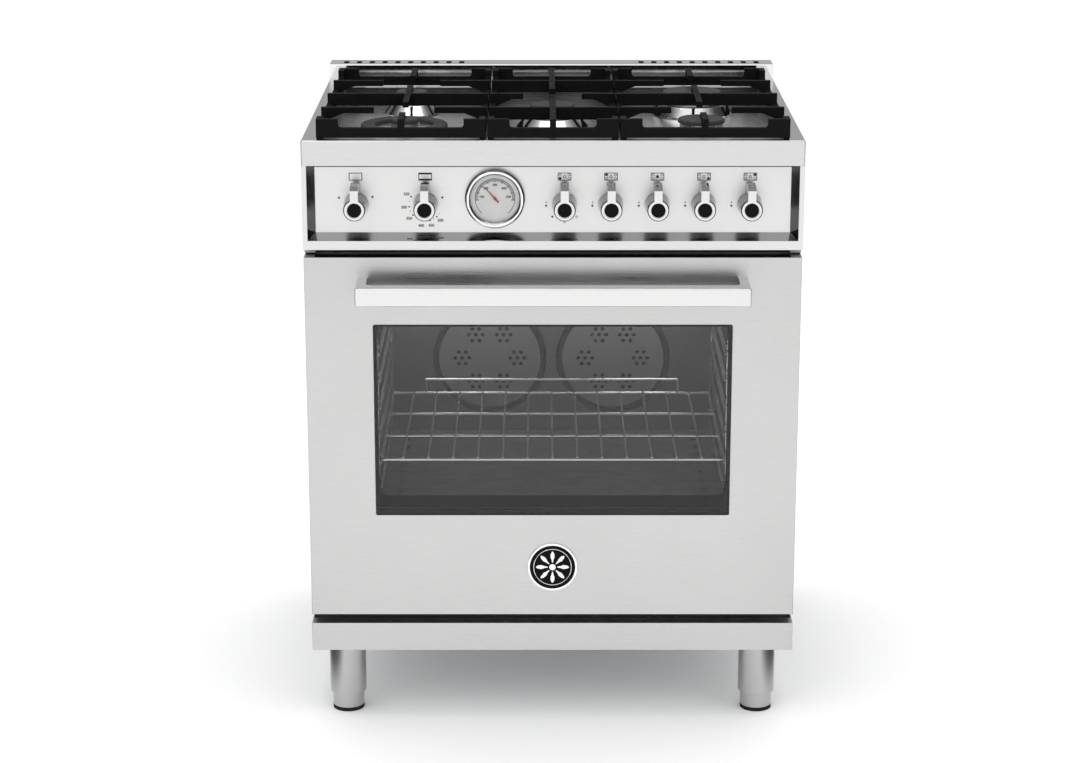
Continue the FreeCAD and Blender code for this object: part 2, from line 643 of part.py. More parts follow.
def make_fan_cover(x):
    """Round plate with rings of small holes, standing on three legs in the fan housing."""
    leg_circle = FAN_COVER_RADIUS - COVER_LEG_MARGIN
    solids = [drill(x, FAN_Z, CAVITY_BACK, CAVITY_BACK + SHEET, FAN_COVER_RADIUS)]
    for index in range(COVER_LEGS):
        angle = math.radians(90 + 360 / COVER_LEGS * index)
        solids.append(drill(x + leg_circle * math.cos(angle), FAN_Z + leg_circle * math.sin(angle),
                            CAVITY_BACK, FAN_HOUSING_BACK - SHEET, COVER_LEG_RADIUS))
    holes = []
    petal_step = math.radians(360 / COVER_PETALS)
    for petal in range(COVER_PETALS):
        centre_x = x + COVER_PETAL_CIRCLE * math.cos(petal_step * petal)
        centre_z = FAN_Z + COVER_PETAL_CIRCLE * math.sin(petal_step * petal)
        holes.append(drill(centre_x, centre_z, CAVITY_BACK - 1, CAVITY_BACK + SHEET + 1, COVER_HOLE_RADIUS))
        for index in range(COVER_PETALS):
            angle = petal_step * (petal + index)
            hole_x = centre_x + COVER_HOLE_CIRCLE * math.cos(angle)
            hole_z = centre_z + COVER_HOLE_CIRCLE * math.sin(angle)
            holes.append(drill(hole_x, hole_z, CAVITY_BACK - 1, CAVITY_BACK + SHEET + 1, COVER_HOLE_RADIUS))
    return cut(fuse(solids), holes)


def make_fan(x):
    """Impeller: hub, backplate, blades and the motor shaft it turns on."""
    front = CAVITY_BACK + FAN_SETBACK
    back = front + FAN_DEPTH
    shaft_end = FAN_HOUSING_BACK + MOTOR_LENGTH / 2
    solids = [drill(x, FAN_Z, front, back, FAN_HUB_RADIUS),
              drill(x, FAN_Z, back - SHEET, back, FAN_RADIUS),
              drill(x, FAN_Z, back - SHEET, shaft_end, FAN_SHAFT_RADIUS)]
    for index in range(FAN_BLADES):
        blade = box(x + FAN_HUB_RADIUS - SHEET, x + FAN_RADIUS - SHEET, front, back,
                    FAN_Z - SHEET / 2, FAN_Z + SHEET / 2)
        blade.rotate(Vec(x, 0, FAN_Z), Vec(0, 1, 0), 360.0 / FAN_BLADES * index)
        solids.append(blade)
    return fuse(solids)


def make_fan_motor(x):
    body = drill(x, FAN_Z, FAN_HOUSING_BACK, FAN_HOUSING_BACK + MOTOR_LENGTH, MOTOR_RADIUS)
    bore = drill(x, FAN_Z, FAN_HOUSING_BACK - 1, FAN_HOUSING_BACK + MOTOR_LENGTH / 2 + BORE_END_ROOM,
                 FAN_SHAFT_RADIUS + RUNNING_FIT)
    return cut(body, [bore])


def level_z(level):
    """Height of a rack level's middle, between its pair of wires."""
    return OVEN_FLOOR_Z + LADDER_LOW_RISE + RACK_PITCH * level


def make_rack_ladder():
    """Right-hand wire ladder: two uprights and a pair of wires at every level."""
    front = CAVITY_FRONT + LADDER_FRONT
    back = CAVITY_BACK - LADDER_BACK
    rung_x = CAVITY_HALF - LADDER_INSET
    upright_x = rung_x + 2 * LADDER_WIRE
    low = level_z(0) - PAIR_SPACING
    high = level_z(RACK_LEVELS - 1) + PAIR_SPACING
    wires = []
    for y in (front + LADDER_POST_INSET, back - LADDER_POST_INSET):
        wires.append(post(upright_x, y, low, high, LADDER_WIRE))
    for level in range(RACK_LEVELS):
        for offset in (-PAIR_SPACING / 2, PAIR_SPACING / 2):
            z = level_z(level) + offset
            wires.append(rod(Vec(rung_x, front, z), Vec(rung_x, back, z), LADDER_WIRE))
            for y in (front + LADDER_POST_INSET, back - LADDER_POST_INSET):
                wires.append(rod(Vec(rung_x, y, z), Vec(upright_x, y, z), LADDER_WIRE / 2))
    return fuse(wires)


def make_oven_rack():
    """Wire shelf: cross wires with lengthwise wires on them, and a raised rail welded on at the back."""
    z = level_z(RACK_LEVEL) - PAIR_SPACING / 2 + LADDER_WIRE + RACK_WIRE + TOUCH_GAP
    front = CAVITY_FRONT + RACK_FRONT_SETBACK
    back = CAVITY_BACK - RACK_BACK_ROOM
    half = CAVITY_HALF - LADDER_INSET - RACK_SIDE_GAP
    wires = []
    for index in range(RACK_CROSS_WIRES):
        y = front + (back - front) * index / (RACK_CROSS_WIRES - 1)
        wires.append(rod(Vec(-half, y, z), Vec(half, y, z), RACK_WIRE))
    top = z + RACK_WIRE
    pitch = 2 * (half - RACK_LONG_MARGIN) / (RACK_LONG_WIRES - 1)
    for index in range(RACK_LONG_WIRES):
        x = pitch * (index - (RACK_LONG_WIRES - 1) / 2)
        wires.append(rod(Vec(x, front, top), Vec(x, back, top), RACK_THIN_WIRE))
    rail_half = pitch * (RACK_LONG_WIRES / 2 - 1)
    rail_z = z + RACK_REAR_RISE
    rail = [rod(Vec(-rail_half, back, rail_z), Vec(rail_half, back, rail_z), RACK_WIRE)]
    for side in (-1, 1):
        rail.append(rod(Vec(side * rail_half, back, z), Vec(side * rail_half, back, rail_z), RACK_WIRE))
        rail.append(Part.makeSphere(RACK_WIRE, Vec(side * rail_half, back, rail_z)))
    shelf = fuse(wires)
    return [shelf] + cut(fuse(rail), [shelf]).Solids


def make_gasket():
    """Fibre seal glued round the oven mouth."""
    inner = CAVITY_HALF + GASKET_RADIUS_OUT
    outer = inner + GASKET_WIDTH
    front = DOOR_THICK + TOUCH_GAP
    ring = window_block(outer, front, CABINET_SETBACK, CAVITY_LOW - GASKET_RADIUS_OUT - GASKET_WIDTH,
                        CAVITY_TOP + GASKET_RADIUS_OUT + GASKET_WIDTH, GASKET_WIDTH * 2)
    hole = window_block(inner, front - 1, CABINET_SETBACK + 1, CAVITY_LOW - GASKET_RADIUS_OUT,
                        CAVITY_TOP + GASKET_RADIUS_OUT, GASKET_WIDTH)
    return cut(ring, [hole])


# ---- door ----
def hinge_pockets(y0, y1, top):
    """Room in the door for both hinges, open at the door's lower edge."""
    cheek_outer = HINGE_BRACKET_THICK / 2 + HINGE_CHEEK_GAP + HINGE_CHEEK_THICK
    reach = cheek_outer + HINGE_PIN_STICKOUT + HINGE_POCKET_GAP
    return [box(x - reach, x + reach, y0, y1, DOOR_LOW - 1, top) for x in (-HINGE_X, HINGE_X)]


def hinge_cheek_top():
    return HINGE_Z + HINGE_CHEEK_LENGTH


def make_door_skin():
    """Folded steel front with the window cut in it. The top fold is left only at the corners."""
    back = DOOR_THICK - INNER_LAND - INNER_PLATE
    block = wide_box(DOOR_HALF, 0, back, DOOR_LOW, DOOR_TOP)
    front_edges = [edge for edge in block.Edges if max(v.Y for v in edge.Vertexes) < 1]
    block = block.makeFillet(SHEET / 2, front_edges)
    hollow = wide_box(DOOR_HALF - SHEET, SHEET, back + 1, DOOR_LOW + SHEET, DOOR_TOP - SHEET)
    window = window_block(HALF - WINDOW_SIDE_MARGIN - DOOR_SIDE_GAP, -1, 2 * SHEET,
                          DOOR_LOW + WINDOW_LOW_MARGIN, DOOR_TOP - WINDOW_TOP_MARGIN, WINDOW_CORNER)
    top_slot = wide_box(HALF - TOP_RETURN_LENGTH, SHEET, back + 1, DOOR_TOP - 2 * SHEET, DOOR_TOP + 1)
    notches = hinge_pockets(HINGE_BEHIND_FRONT - HINGE_CHEEK_RADIUS - HINGE_POCKET_GAP, back + 1,
                            DOOR_LOW + 2 * SHEET)
    return cut(block, [hollow, window, top_slot] + notches)


def make_door_core():
    """Insulated core inside the skin, open in the middle for the glass."""
    front = SHEET
    back = DOOR_THICK - INNER_LAND - INNER_PLATE
    half = DOOR_HALF - SHEET - TOUCH_GAP
    block = wide_box(half, front, back, DOOR_LOW + SHEET, DOOR_TOP - SHEET - CORE_DROP)
    opening = wide_box(OUTER_GLASS_HALF, front - 1, back + 1, OUTER_GLASS_LOW, OUTER_GLASS_TOP)
    pockets = hinge_pockets(SHEET - 1, back + 1, hinge_cheek_top())
    return cut(block, [opening] + pockets)


def make_outer_glass():
    return wide_box(OUTER_GLASS_HALF, SHEET, SHEET + GLASS_THICK, OUTER_GLASS_LOW, OUTER_GLASS_TOP)


def make_inner_panel():
    """Enamelled back of the door, with a raised land that meets the seal."""
    plate_front = DOOR_THICK - INNER_LAND - INNER_PLATE
    land_front = DOOR_THICK - INNER_LAND
    plate = wide_box(DOOR_HALF, plate_front, land_front, DOOR_LOW, DOOR_TOP)
    land_low = DOOR_LOW + INNER_LAND_MARGIN + HINGE_CHEEK_LENGTH / 2
    land = window_block(DOOR_HALF - INNER_LAND_MARGIN, land_front, DOOR_THICK, land_low,
                        DOOR_TOP - INNER_LAND_MARGIN / 2, INNER_WINDOW_CORNER)
    window = window_block(HALF - INNER_WINDOW_SIDE, plate_front - 1, DOOR_THICK + 1,
                          DOOR_LOW + INNER_WINDOW_LOW, DOOR_TOP - INNER_WINDOW_TOP, INNER_WINDOW_CORNER)
    notches = hinge_pockets(plate_front - 1, land_front + 1, hinge_cheek_top() - HINGE_CHEEK_LENGTH / 2)
    return cut(fuse([plate, land]), [window] + notches)


def make_inner_glass():
    back = DOOR_THICK - INNER_LAND - INNER_PLATE
    return wide_box(HALF - INNER_WINDOW_SIDE + GLASS_OVERLAP, back - GLASS_THICK, back,
                    DOOR_LOW + INNER_WINDOW_LOW - GLASS_OVERLAP, DOOR_TOP - INNER_WINDOW_TOP + GLASS_OVERLAP)


def make_hinge_arm(x):
    """Door half of a hinge: two cheeks either side of the cabinet bracket and the pin through them."""
    inner = HINGE_BRACKET_THICK / 2 + HINGE_CHEEK_GAP
    outer = inner + HINGE_CHEEK_THICK
    y = HINGE_BEHIND_FRONT
    pin_half = outer + HINGE_PIN_STICKOUT
    solids = [rod(Vec(x - pin_half, y, HINGE_Z), Vec(x + pin_half, y, HINGE_Z), HINGE_PIN_RADIUS)]
    for side in (-1, 1):
        x0 = x + min(side * inner, side * outer)
        solids.append(rod(Vec(x0, y, HINGE_Z), Vec(x0 + HINGE_CHEEK_THICK, y, HINGE_Z), HINGE_CHEEK_RADIUS))
        solids.append(box(x0, x0 + HINGE_CHEEK_THICK, y - HINGE_CHEEK_RADIUS, y + HINGE_CHEEK_RADIUS,
                          HINGE_Z, hinge_cheek_top()))
    return fuse(solids)


def make_hinge_bracket(x):
    """Cabinet half of a hinge: a plate with the pin hole, on a foot behind the front frame's face."""
    y = HINGE_BEHIND_FRONT
    half = HINGE_BRACKET_THICK / 2
    low = HINGE_Z - HINGE_BRACKET_HEIGHT / 2
    high = HINGE_Z + HINGE_BRACKET_HEIGHT / 2
    arm = fuse([box(x - half, x + half, y, CABINET_SETBACK, low, high),
                rod(Vec(x - half, y, HINGE_Z), Vec(x + half, y, HINGE_Z), HINGE_BRACKET_HEIGHT / 2)])
    hole = rod(Vec(x - half - 1, y, HINGE_Z), Vec(x + half + 1, y, HINGE_Z), HINGE_PIN_RADIUS + RUNNING_FIT)
    return cut(arm, [hole])


def make_handle():
    """Bar with a post at each end, rounded where the posts meet the bar."""
    half = HALF - HANDLE_END_MARGIN
    low = HANDLE_Z - HANDLE_BAR_HEIGHT / 2
    high = HANDLE_Z + HANDLE_BAR_HEIGHT / 2
    block = wide_box(half, -HANDLE_REACH, 0, low, high)
    gap_half = half - HANDLE_POST_WIDTH
    gap_front = HANDLE_BAR_DEPTH - HANDLE_REACH
    gap = wide_box(gap_half, gap_front, HANDLE_INNER_CORNER * 2, low - 1, high + 1)
    corners = [edge for edge in gap.Edges
               if max(v.Y for v in edge.Vertexes) < gap_front + 1
               and max(v.Z for v in edge.Vertexes) - min(v.Z for v in edge.Vertexes) > 1]
    gap = gap.makeFillet(HANDLE_INNER_CORNER, corners)
    block = block.makeFillet(HANDLE_EDGE, [edge for edge in block.Edges
                                           if min(v.Y for v in edge.Vertexes) < 1 - HANDLE_REACH])
    return cut(block, [gap])


def make_badge():
    """Round medallion: a rim and the face set into it."""
    z = DOOR_LOW + BADGE_RISE
    step = BADGE_PROUD / 3
    rim = turned_y([(0, 0), (BADGE_RADIUS, 0), (BADGE_RADIUS, step - BADGE_PROUD),
                    (BADGE_RADIUS - step, -BADGE_PROUD), (BADGE_FACE_RADIUS, -BADGE_PROUD),
                    (BADGE_FACE_RADIUS, -step), (0, -step)], 0, z)
    face = drill(0, z, -BADGE_PROUD + step / 2, -step, BADGE_FACE_RADIUS)
    return [rim, face]


# ---- controls ----
def make_knob(x):
    """Turned body with a lever tab, bored for the stem, and a black disc let into its front."""
    z = KNOB_Z
    body = turned_y([(0, KNOB_BACK_Y), (KNOB_SKIRT_RADIUS, KNOB_BACK_Y),
                     (KNOB_SKIRT_RADIUS, KNOB_BACK_Y - KNOB_SKIRT_LENGTH),
                     (KNOB_FRONT_RADIUS, KNOB_FRONT_Y + KNOB_EDGE), (KNOB_FRONT_RADIUS - KNOB_EDGE, KNOB_FRONT_Y),
                     (0, KNOB_FRONT_Y)], x, z)
    half = LEVER_WIDTH / 2
    top = z + LEVER_TOP
    side = [(KNOB_FRONT_Y, z), (KNOB_FRONT_Y, top - LEVER_BEVEL), (KNOB_FRONT_Y + LEVER_BEVEL, top),
            (KNOB_FRONT_Y + LEVER_DEPTH, top), (KNOB_FRONT_Y + LEVER_DEPTH, z)]
    lever = prism([Vec(x - half, y, height) for y, height in side], Vec(LEVER_WIDTH, 0, 0))
    recess = drill(x, z, KNOB_FRONT_Y, KNOB_FRONT_Y + INSERT_DEPTH, INSERT_RADIUS)
    bore = drill(x, z, KNOB_BACK_Y - STEM_IN_KNOB, KNOB_BACK_Y, STEM_RADIUS + RUNNING_FIT)
    knob = cut(fuse([body, lever]), [recess, bore])
    insert = drill(x, z, KNOB_FRONT_Y + KNOB_EDGE / 2, KNOB_FRONT_Y + INSERT_DEPTH, INSERT_RADIUS)
    return [knob, insert]


def make_stem(x):
    """Valve stem from inside the knob to inside the valve."""
    return drill(x, KNOB_Z, KNOB_BACK_Y - STEM_IN_KNOB + TOUCH_GAP, VALVE_FRONT_Y + STEM_IN_VALVE, STEM_RADIUS)


def make_valve(x):
    body = box(x - VALVE_WIDTH / 2, x + VALVE_WIDTH / 2, VALVE_FRONT_Y, MANIFOLD_SETBACK,
               KNOB_Z - VALVE_HEIGHT / 2, KNOB_Z + VALVE_HEIGHT / 2)
    bore = drill(x, KNOB_Z, VALVE_FRONT_Y - 1, VALVE_FRONT_Y + STEM_IN_VALVE + PUSH_TRAVEL + BORE_END_ROOM,
                 STEM_RADIUS + RUNNING_FIT)
    return cut(body, [bore])


def make_gauge_bezel():
    """Polished ring standing proud of the panel, with the tube that passes through it."""
    front = PANEL_SETBACK - BEZEL_PROUD
    back = PANEL_SETBACK + GAUGE_TUBE_BACK
    return turned_y([(BEZEL_INNER, front + BEZEL_LIP), (BEZEL_INNER + BEZEL_LIP, front),
                     (BEZEL_RADIUS - BEZEL_LIP, front), (BEZEL_RADIUS, front + BEZEL_LIP),
                     (BEZEL_RADIUS, PANEL_SETBACK), (GAUGE_TUBE_RADIUS, PANEL_SETBACK),
                     (GAUGE_TUBE_RADIUS, back), (BEZEL_INNER, back)], GAUGE_X, GAUGE_Z)


def gauge_dial_front():
    return PANEL_SETBACK - DIAL_THICK


def make_gauge_dial():
    disc = drill(GAUGE_X, GAUGE_Z, gauge_dial_front(), PANEL_SETBACK, BEZEL_INNER)
    hole = drill(GAUGE_X, GAUGE_Z, gauge_dial_front() - 1, PANEL_SETBACK + 1, GAUGE_SHAFT_RADIUS + RUNNING_FIT)
    return cut(disc, [hole])


def make_gauge_needle():
    """Thin pointer on a short shaft through the dial, at its resting angle."""
    back = gauge_dial_front() - NEEDLE_GAP
    front = back - NEEDLE_THICK
    x = GAUGE_X
    z = GAUGE_Z
    tip = NEEDLE_TIP_WIDTH / 2
    middle = NEEDLE_WIDTH / 2
    outline = [(-middle, -NEEDLE_TAIL), (middle, -NEEDLE_TAIL), (middle, 0), (tip, NEEDLE_LENGTH),
               (-tip, NEEDLE_LENGTH), (-middle, 0)]
    pointer = prism([Vec(x + u, front, z + w) for u, w in outline], Vec(0, NEEDLE_THICK, 0))
    hub = drill(x, z, front, back, 3 * GAUGE_SHAFT_RADIUS / 2)
    shaft = drill(x, z, front, PANEL_SETBACK + BORE_END_ROOM, GAUGE_SHAFT_RADIUS)
    needle = fuse([pointer, hub, shaft])
    needle.rotate(Vec(x, 0, z), Vec(0, 1, 0), -NEEDLE_REST_ANGLE)
    return needle


def make_gauge_glass():
    front = PANEL_SETBACK - BEZEL_PROUD + BEZEL_LIP
    return drill(GAUGE_X, GAUGE_Z, front, front + GAUGE_GLASS_THICK, BEZEL_INNER)


# ---- hob ----
def make_cup(x, y, base, top):
    """Cone-shaped drip cup that stands in the well under a burner."""
    rim = WELL_Z + CUP_HEIGHT
    return turned_z([(THROAT_RADIUS, WELL_Z), (base, WELL_Z), (base, WELL_Z + CUP_WALL), (top, rim),
                     (top - CUP_WALL, rim), (top - CUP_WALL, rim - CUP_WALL), (THROAT_RADIUS, rim - CUP_WALL)],
                    x, y)


def make_head(x, y, radius):
    """Burner head with flame ports round its rim and a throat down through the worktop."""
    low = WELL_Z + CUP_HEIGHT - CUP_WALL
    top = low + HEAD_HEIGHT
    head_radius = radius - CAP_OVERHANG
    body = turned_z([(0, low), (head_radius - HEAD_BEVEL, low), (head_radius, low + HEAD_BEVEL),
                     (head_radius, top), (0, top)], x, y)
    throat = post(x, y, WELL_Z - THROAT_DROP, low, THROAT_RADIUS)
    ports = []
    count = int(2 * math.pi * head_radius / PORT_PITCH)
    for index in range(count):
        port = box(x + head_radius - PORT_DEPTH, x + head_radius + 1, y - PORT_WIDTH / 2, y + PORT_WIDTH / 2,
                   top - PORT_HEIGHT, top + 1)
        port.rotate(Vec(x, y, 0), Vec(0, 0, 1), 360.0 / count * index)
        ports.append(port)
    return cut(fuse([body, throat]), ports)


def cap_disc(x, y, radius, low):
    top = low + CAP_THICK
    return turned_z([(0, low), (radius - CAP_LOW_EDGE, low), (radius, low + CAP_LOW_EDGE), (radius, top - CAP_EDGE),
                     (radius - CAP_EDGE, top), (0, top)], x, y)


def cap_low():
    return WELL_Z + CUP_HEIGHT - CUP_WALL + HEAD_HEIGHT


def make_ring_head(x, y, radius):
    """Two-ring burner head: a low outer ring, an inner head and bridges between them."""
    low = WELL_Z + CUP_HEIGHT - CUP_WALL
    top = cap_low() - RING_CAP_DROP
    outer_radius = radius - CAP_OVERHANG
    ring = turned_z([(RING_CAP_OPENING, low), (outer_radius - HEAD_BEVEL, low), (outer_radius, low + HEAD_BEVEL),
                     (outer_radius, top), (RING_CAP_OPENING, top)], x, y)
    solids = [ring, post(x, y, low, cap_low(), RING_INNER_CAP - CAP_OVERHANG / 3),
              post(x, y, WELL_Z - THROAT_DROP, low, THROAT_RADIUS)]
    for index in range(RING_BRIDGES):
        bridge = box(x, x + RING_CAP_OPENING + HEAD_BEVEL, y - RING_BRIDGE_WIDTH / 2, y + RING_BRIDGE_WIDTH / 2,
                     low, low + PORT_HEIGHT)
        bridge.rotate(Vec(x, y, 0), Vec(0, 0, 1), RING_BRIDGE_ANGLE + 360 / RING_BRIDGES * index)
        solids.append(bridge)
    ports = []
    count = int(2 * math.pi * outer_radius / PORT_PITCH)
    for index in range(count):
        port = box(x + outer_radius - PORT_DEPTH, x + outer_radius + 1, y - PORT_WIDTH / 2, y + PORT_WIDTH / 2,
                   top - PORT_HEIGHT / 2, top + 1)
        port.rotate(Vec(x, y, 0), Vec(0, 0, 1), 360.0 / count * index)
        ports.append(port)
    return cut(fuse(solids), ports)


def make_ring_caps(x, y, radius):
    """Outer ring cap and the small round cap in its middle."""
    low = cap_low() - RING_CAP_DROP
    top = low + CAP_THICK
    ring = turned_z([(RING_CAP_OPENING, low), (radius - CAP_LOW_EDGE, low), (radius, low + CAP_LOW_EDGE),
                     (radius, top - CAP_EDGE), (radius - CAP_EDGE, top), (RING_CAP_OPENING + CAP_EDGE, top),
                     (RING_CAP_OPENING, top - CAP_EDGE)], x, y)
    return [ring, cap_disc(x, y, RING_INNER_CAP, cap_low())]


def make_igniter(x, y, spot):
    """Ceramic spark pin standing in the cup, at a distance from the burner's middle."""
    low = WELL_Z + CUP_HEIGHT - CUP_WALL
    angle = math.radians(IGNITER_ANGLE)
    return post(x + spot * math.cos(angle), y + spot * math.sin(angle), low, low + IGNITER_HEIGHT, IGNITER_RADIUS)


def rail_face(start, end, raised, across, low, high):
    """Upright outline of a grate rail: low in the middle, raised at both ends, with scooped steps."""
    def at(along, z):
        return Vec(along, across, z)
    rail_top = high - GRATE_RAIL_DROP
    scoop = GRATE_SCOOP
    bend = scoop * (1 - math.sqrt(0.5))
    a = start + raised
    b = end - raised
    edges = [Part.LineSegment(at(start, low), at(end, low)), Part.LineSegment(at(end, low), at(end, high)),
             Part.LineSegment(at(end, high), at(b, high)),
             Part.LineSegment(at(b, high), at(b, rail_top + scoop)),
             Part.Arc(at(b, rail_top + scoop), at(b - bend, rail_top + bend), at(b - scoop, rail_top)),
             Part.LineSegment(at(b - scoop, rail_top), at(a + scoop, rail_top)),
             Part.Arc(at(a + scoop, rail_top), at(a + bend, rail_top + bend), at(a, rail_top + scoop)),
             Part.LineSegment(at(a, rail_top + scoop), at(a, high)),
             Part.LineSegment(at(a, high), at(start, high)), Part.LineSegment(at(start, high), at(start, low))]
    return Part.Face(Part.Wire([edge.toShape() for edge in edges]))


def quarter_turn(shape):
    """Turn a shape drawn along x so that it runs along y."""
    turned = shape.copy()
    turned.rotate(Vec(0, 0, 0), Vec(0, 0, 1), 90)
    return turned


def grate_frame(x0, x1):
    """Four rails and four feet of one grate."""
    y0 = GRATE_FRONT_MARGIN
    y1 = GRATE_BACK_Y
    low = WORKTOP_HEIGHT + GRATE_FOOT
    solids = []
    for y in (y0, y1 - GRATE_BAR):
        solids.append(rail_face(x0, x1, GRATE_CORNER_X, y, low, GRATE_Z).extrude(Vec(0, GRATE_BAR, 0)))
    for x in (x0, x1 - GRATE_BAR):
        rail = rail_face(y0, y1, GRATE_CORNER_Y, -x - GRATE_BAR, low, GRATE_Z).extrude(Vec(0, GRATE_BAR, 0))
        solids.append(quarter_turn(rail))
    foot_reach = GRATE_BAR / 2
    for x in (x0 + foot_reach, x1 - foot_reach):
        for y in (y0 + foot_reach, y1 - foot_reach):
            solids.append(post(x, y, WORKTOP_HEIGHT, low, foot_reach - TOUCH_GAP))
    return solids


def finger(root, tip, direction):
    """Pan support bar from the frame's outer face to its tip, thicker where it joins the frame.

    root and tip are (x, y) points; direction is "x" or "y".
    """
    axis = 0 if direction == "x" else 1
    sign = 1 if tip[axis] > root[axis] else -1
    length = abs(tip[axis] - root[axis])
    low = WORKTOP_HEIGHT + GRATE_FOOT
    outline = [(0, low), (GRATE_BAR, low), (GRATE_BAR, GRATE_Z - FINGER_ROOT_DEPTH),
               (GRATE_BAR + FINGER_ARCH, GRATE_Z - FINGER_DEPTH), (length, GRATE_Z - FINGER_DEPTH),
               (length, GRATE_Z), (0, GRATE_Z)]
    half = GRATE_BAR / 2
    if direction == "x":
        points = [Vec(root[0] + sign * u, root[1] - half, z) for u, z in outline]
        return prism(points, Vec(0, GRATE_BAR, 0))
    points = [Vec(root[0] - half, root[1] + sign * u, z) for u, z in outline]
    return prism(points, Vec(GRATE_BAR, 0, 0))


def cross_rail(x0, x1, y):
    """Full-height bar across a grate."""
    return box(x0, x1, y - GRATE_BAR / 2, y + GRATE_BAR / 2, GRATE_Z - FINGER_ROOT_DEPTH, GRATE_Z)


def make_side_grate():
    """Right-hand grate, over a front and a rear burner."""
    x0 = SIDE_GRATE_IN
    x1 = SIDE_GRATE_OUT
    solids = grate_frame(x0, x1)
    solids.append(cross_rail(x0, x1, BURNER_MID_Y))
    for y in (BURNER_FRONT_Y, BURNER_REAR_Y):
        solids.append(finger((x0, y), (BURNER_X - FINGER_CLEAR_RADIUS, y), "x"))
        solids.append(finger((x1, y), (BURNER_X + FINGER_CLEAR_RADIUS, y), "x"))
    solids.append(finger((BURNER_X, GRATE_FRONT_MARGIN), (BURNER_X, BURNER_FRONT_Y - FINGER_CLEAR_RADIUS), "y"))
    solids.append(finger((BURNER_X, GRATE_BACK_Y), (BURNER_X, BURNER_REAR_Y + FINGER_CLEAR_RADIUS), "y"))
    half = GRATE_BAR / 2
    solids.append(box(BURNER_X - half, BURNER_X + half, BURNER_FRONT_Y + FINGER_CLEAR_RADIUS,
                      BURNER_REAR_Y - FINGER_CLEAR_RADIUS, GRATE_Z - FINGER_DEPTH, GRATE_Z))
    return fuse(solids)


def make_centre_grate():
    x1 = CENTRE_GRATE_WIDTH / 2
    solids = grate_frame(-x1, x1)
    for y in (BURNER_FRONT_Y, BURNER_REAR_Y):
        solids.append(cross_rail(-x1, x1, y))
    solids.append(finger((0, GRATE_FRONT_MARGIN), (0, BURNER_MID_Y - LONG_FINGER_CLEAR), "y"))
    solids.append(finger((0, GRATE_BACK_Y), (0, BURNER_MID_Y + LONG_FINGER_CLEAR), "y"))
    solids.append(finger((-x1, BURNER_MID_Y), (-FINGER_CLEAR_RADIUS, BURNER_MID_Y), "x"))
    solids.append(finger((x1, BURNER_MID_Y), (FINGER_CLEAR_RADIUS, BURNER_MID_Y), "x"))
    return fuse(solids)


# ---- gas pipework ----
def make_manifold():
    """Square supply pipe behind the panel, its run to the back and the threaded inlet."""
    y0 = MANIFOLD_SETBACK
    y1 = y0 + MANIFOLD_SIDE
    half = MANIFOLD_SIDE / 2
    inlet_end = BODY_DEPTH - INLET_RECESS
    inlet_start = inlet_end - INLET_LENGTH
    across = box(KNOB_XS[1] - half, INLET_X + half, y0, y1, KNOB_Z - half, KNOB_Z + half)
    run = box(INLET_X - half, INLET_X + half, y1, inlet_start - HEX_LENGTH, KNOB_Z - half, KNOB_Z + half)
    hexagon = [Vec(INLET_X + HEX_SIZE * math.cos(math.radians(60 * index)), inlet_start - HEX_LENGTH,
                   KNOB_Z + HEX_SIZE * math.sin(math.radians(60 * index))) for index in range(6)]
    nut = prism(hexagon, Vec(0, HEX_LENGTH, 0))
    nipple = drill(INLET_X, KNOB_Z, inlet_start, inlet_end, INLET_RADIUS)
    return fuse([across, run, nut, nipple])


# ---- legs ----
def make_leg_sleeve(x, y):
    top_plate = LEG_HEIGHT - SLEEVE_TOP_PLATE
    inner = FOOT_RADIUS + TOUCH_GAP
    bend = SLEEVE_ROUND * (1 - math.sqrt(0.5))
    return turned_z([(inner, SLEEVE_BOTTOM), (SLEEVE_RADIUS - SLEEVE_ROUND, SLEEVE_BOTTOM),
                     (SLEEVE_RADIUS - bend, SLEEVE_BOTTOM + bend), (SLEEVE_RADIUS, SLEEVE_BOTTOM + SLEEVE_ROUND),
                     (SLEEVE_RADIUS, LEG_HEIGHT), (0, LEG_HEIGHT), (0, top_plate), (inner, top_plate)], x, y)


def make_foot(x, y):
    """Tube that slides in the sleeve and the pad under it."""
    pad = turned_z([(0, 0), (FOOT_RADIUS - PAD_EDGE, 0), (FOOT_RADIUS, PAD_EDGE), (FOOT_RADIUS, PAD_HEIGHT),
                    (0, PAD_HEIGHT)], x, y)
    tube = post(x, y, PAD_HEIGHT, SLEEVE_BOTTOM + FOOT_INSIDE_SLEEVE, FOOT_RADIUS)
    return [tube, pad]


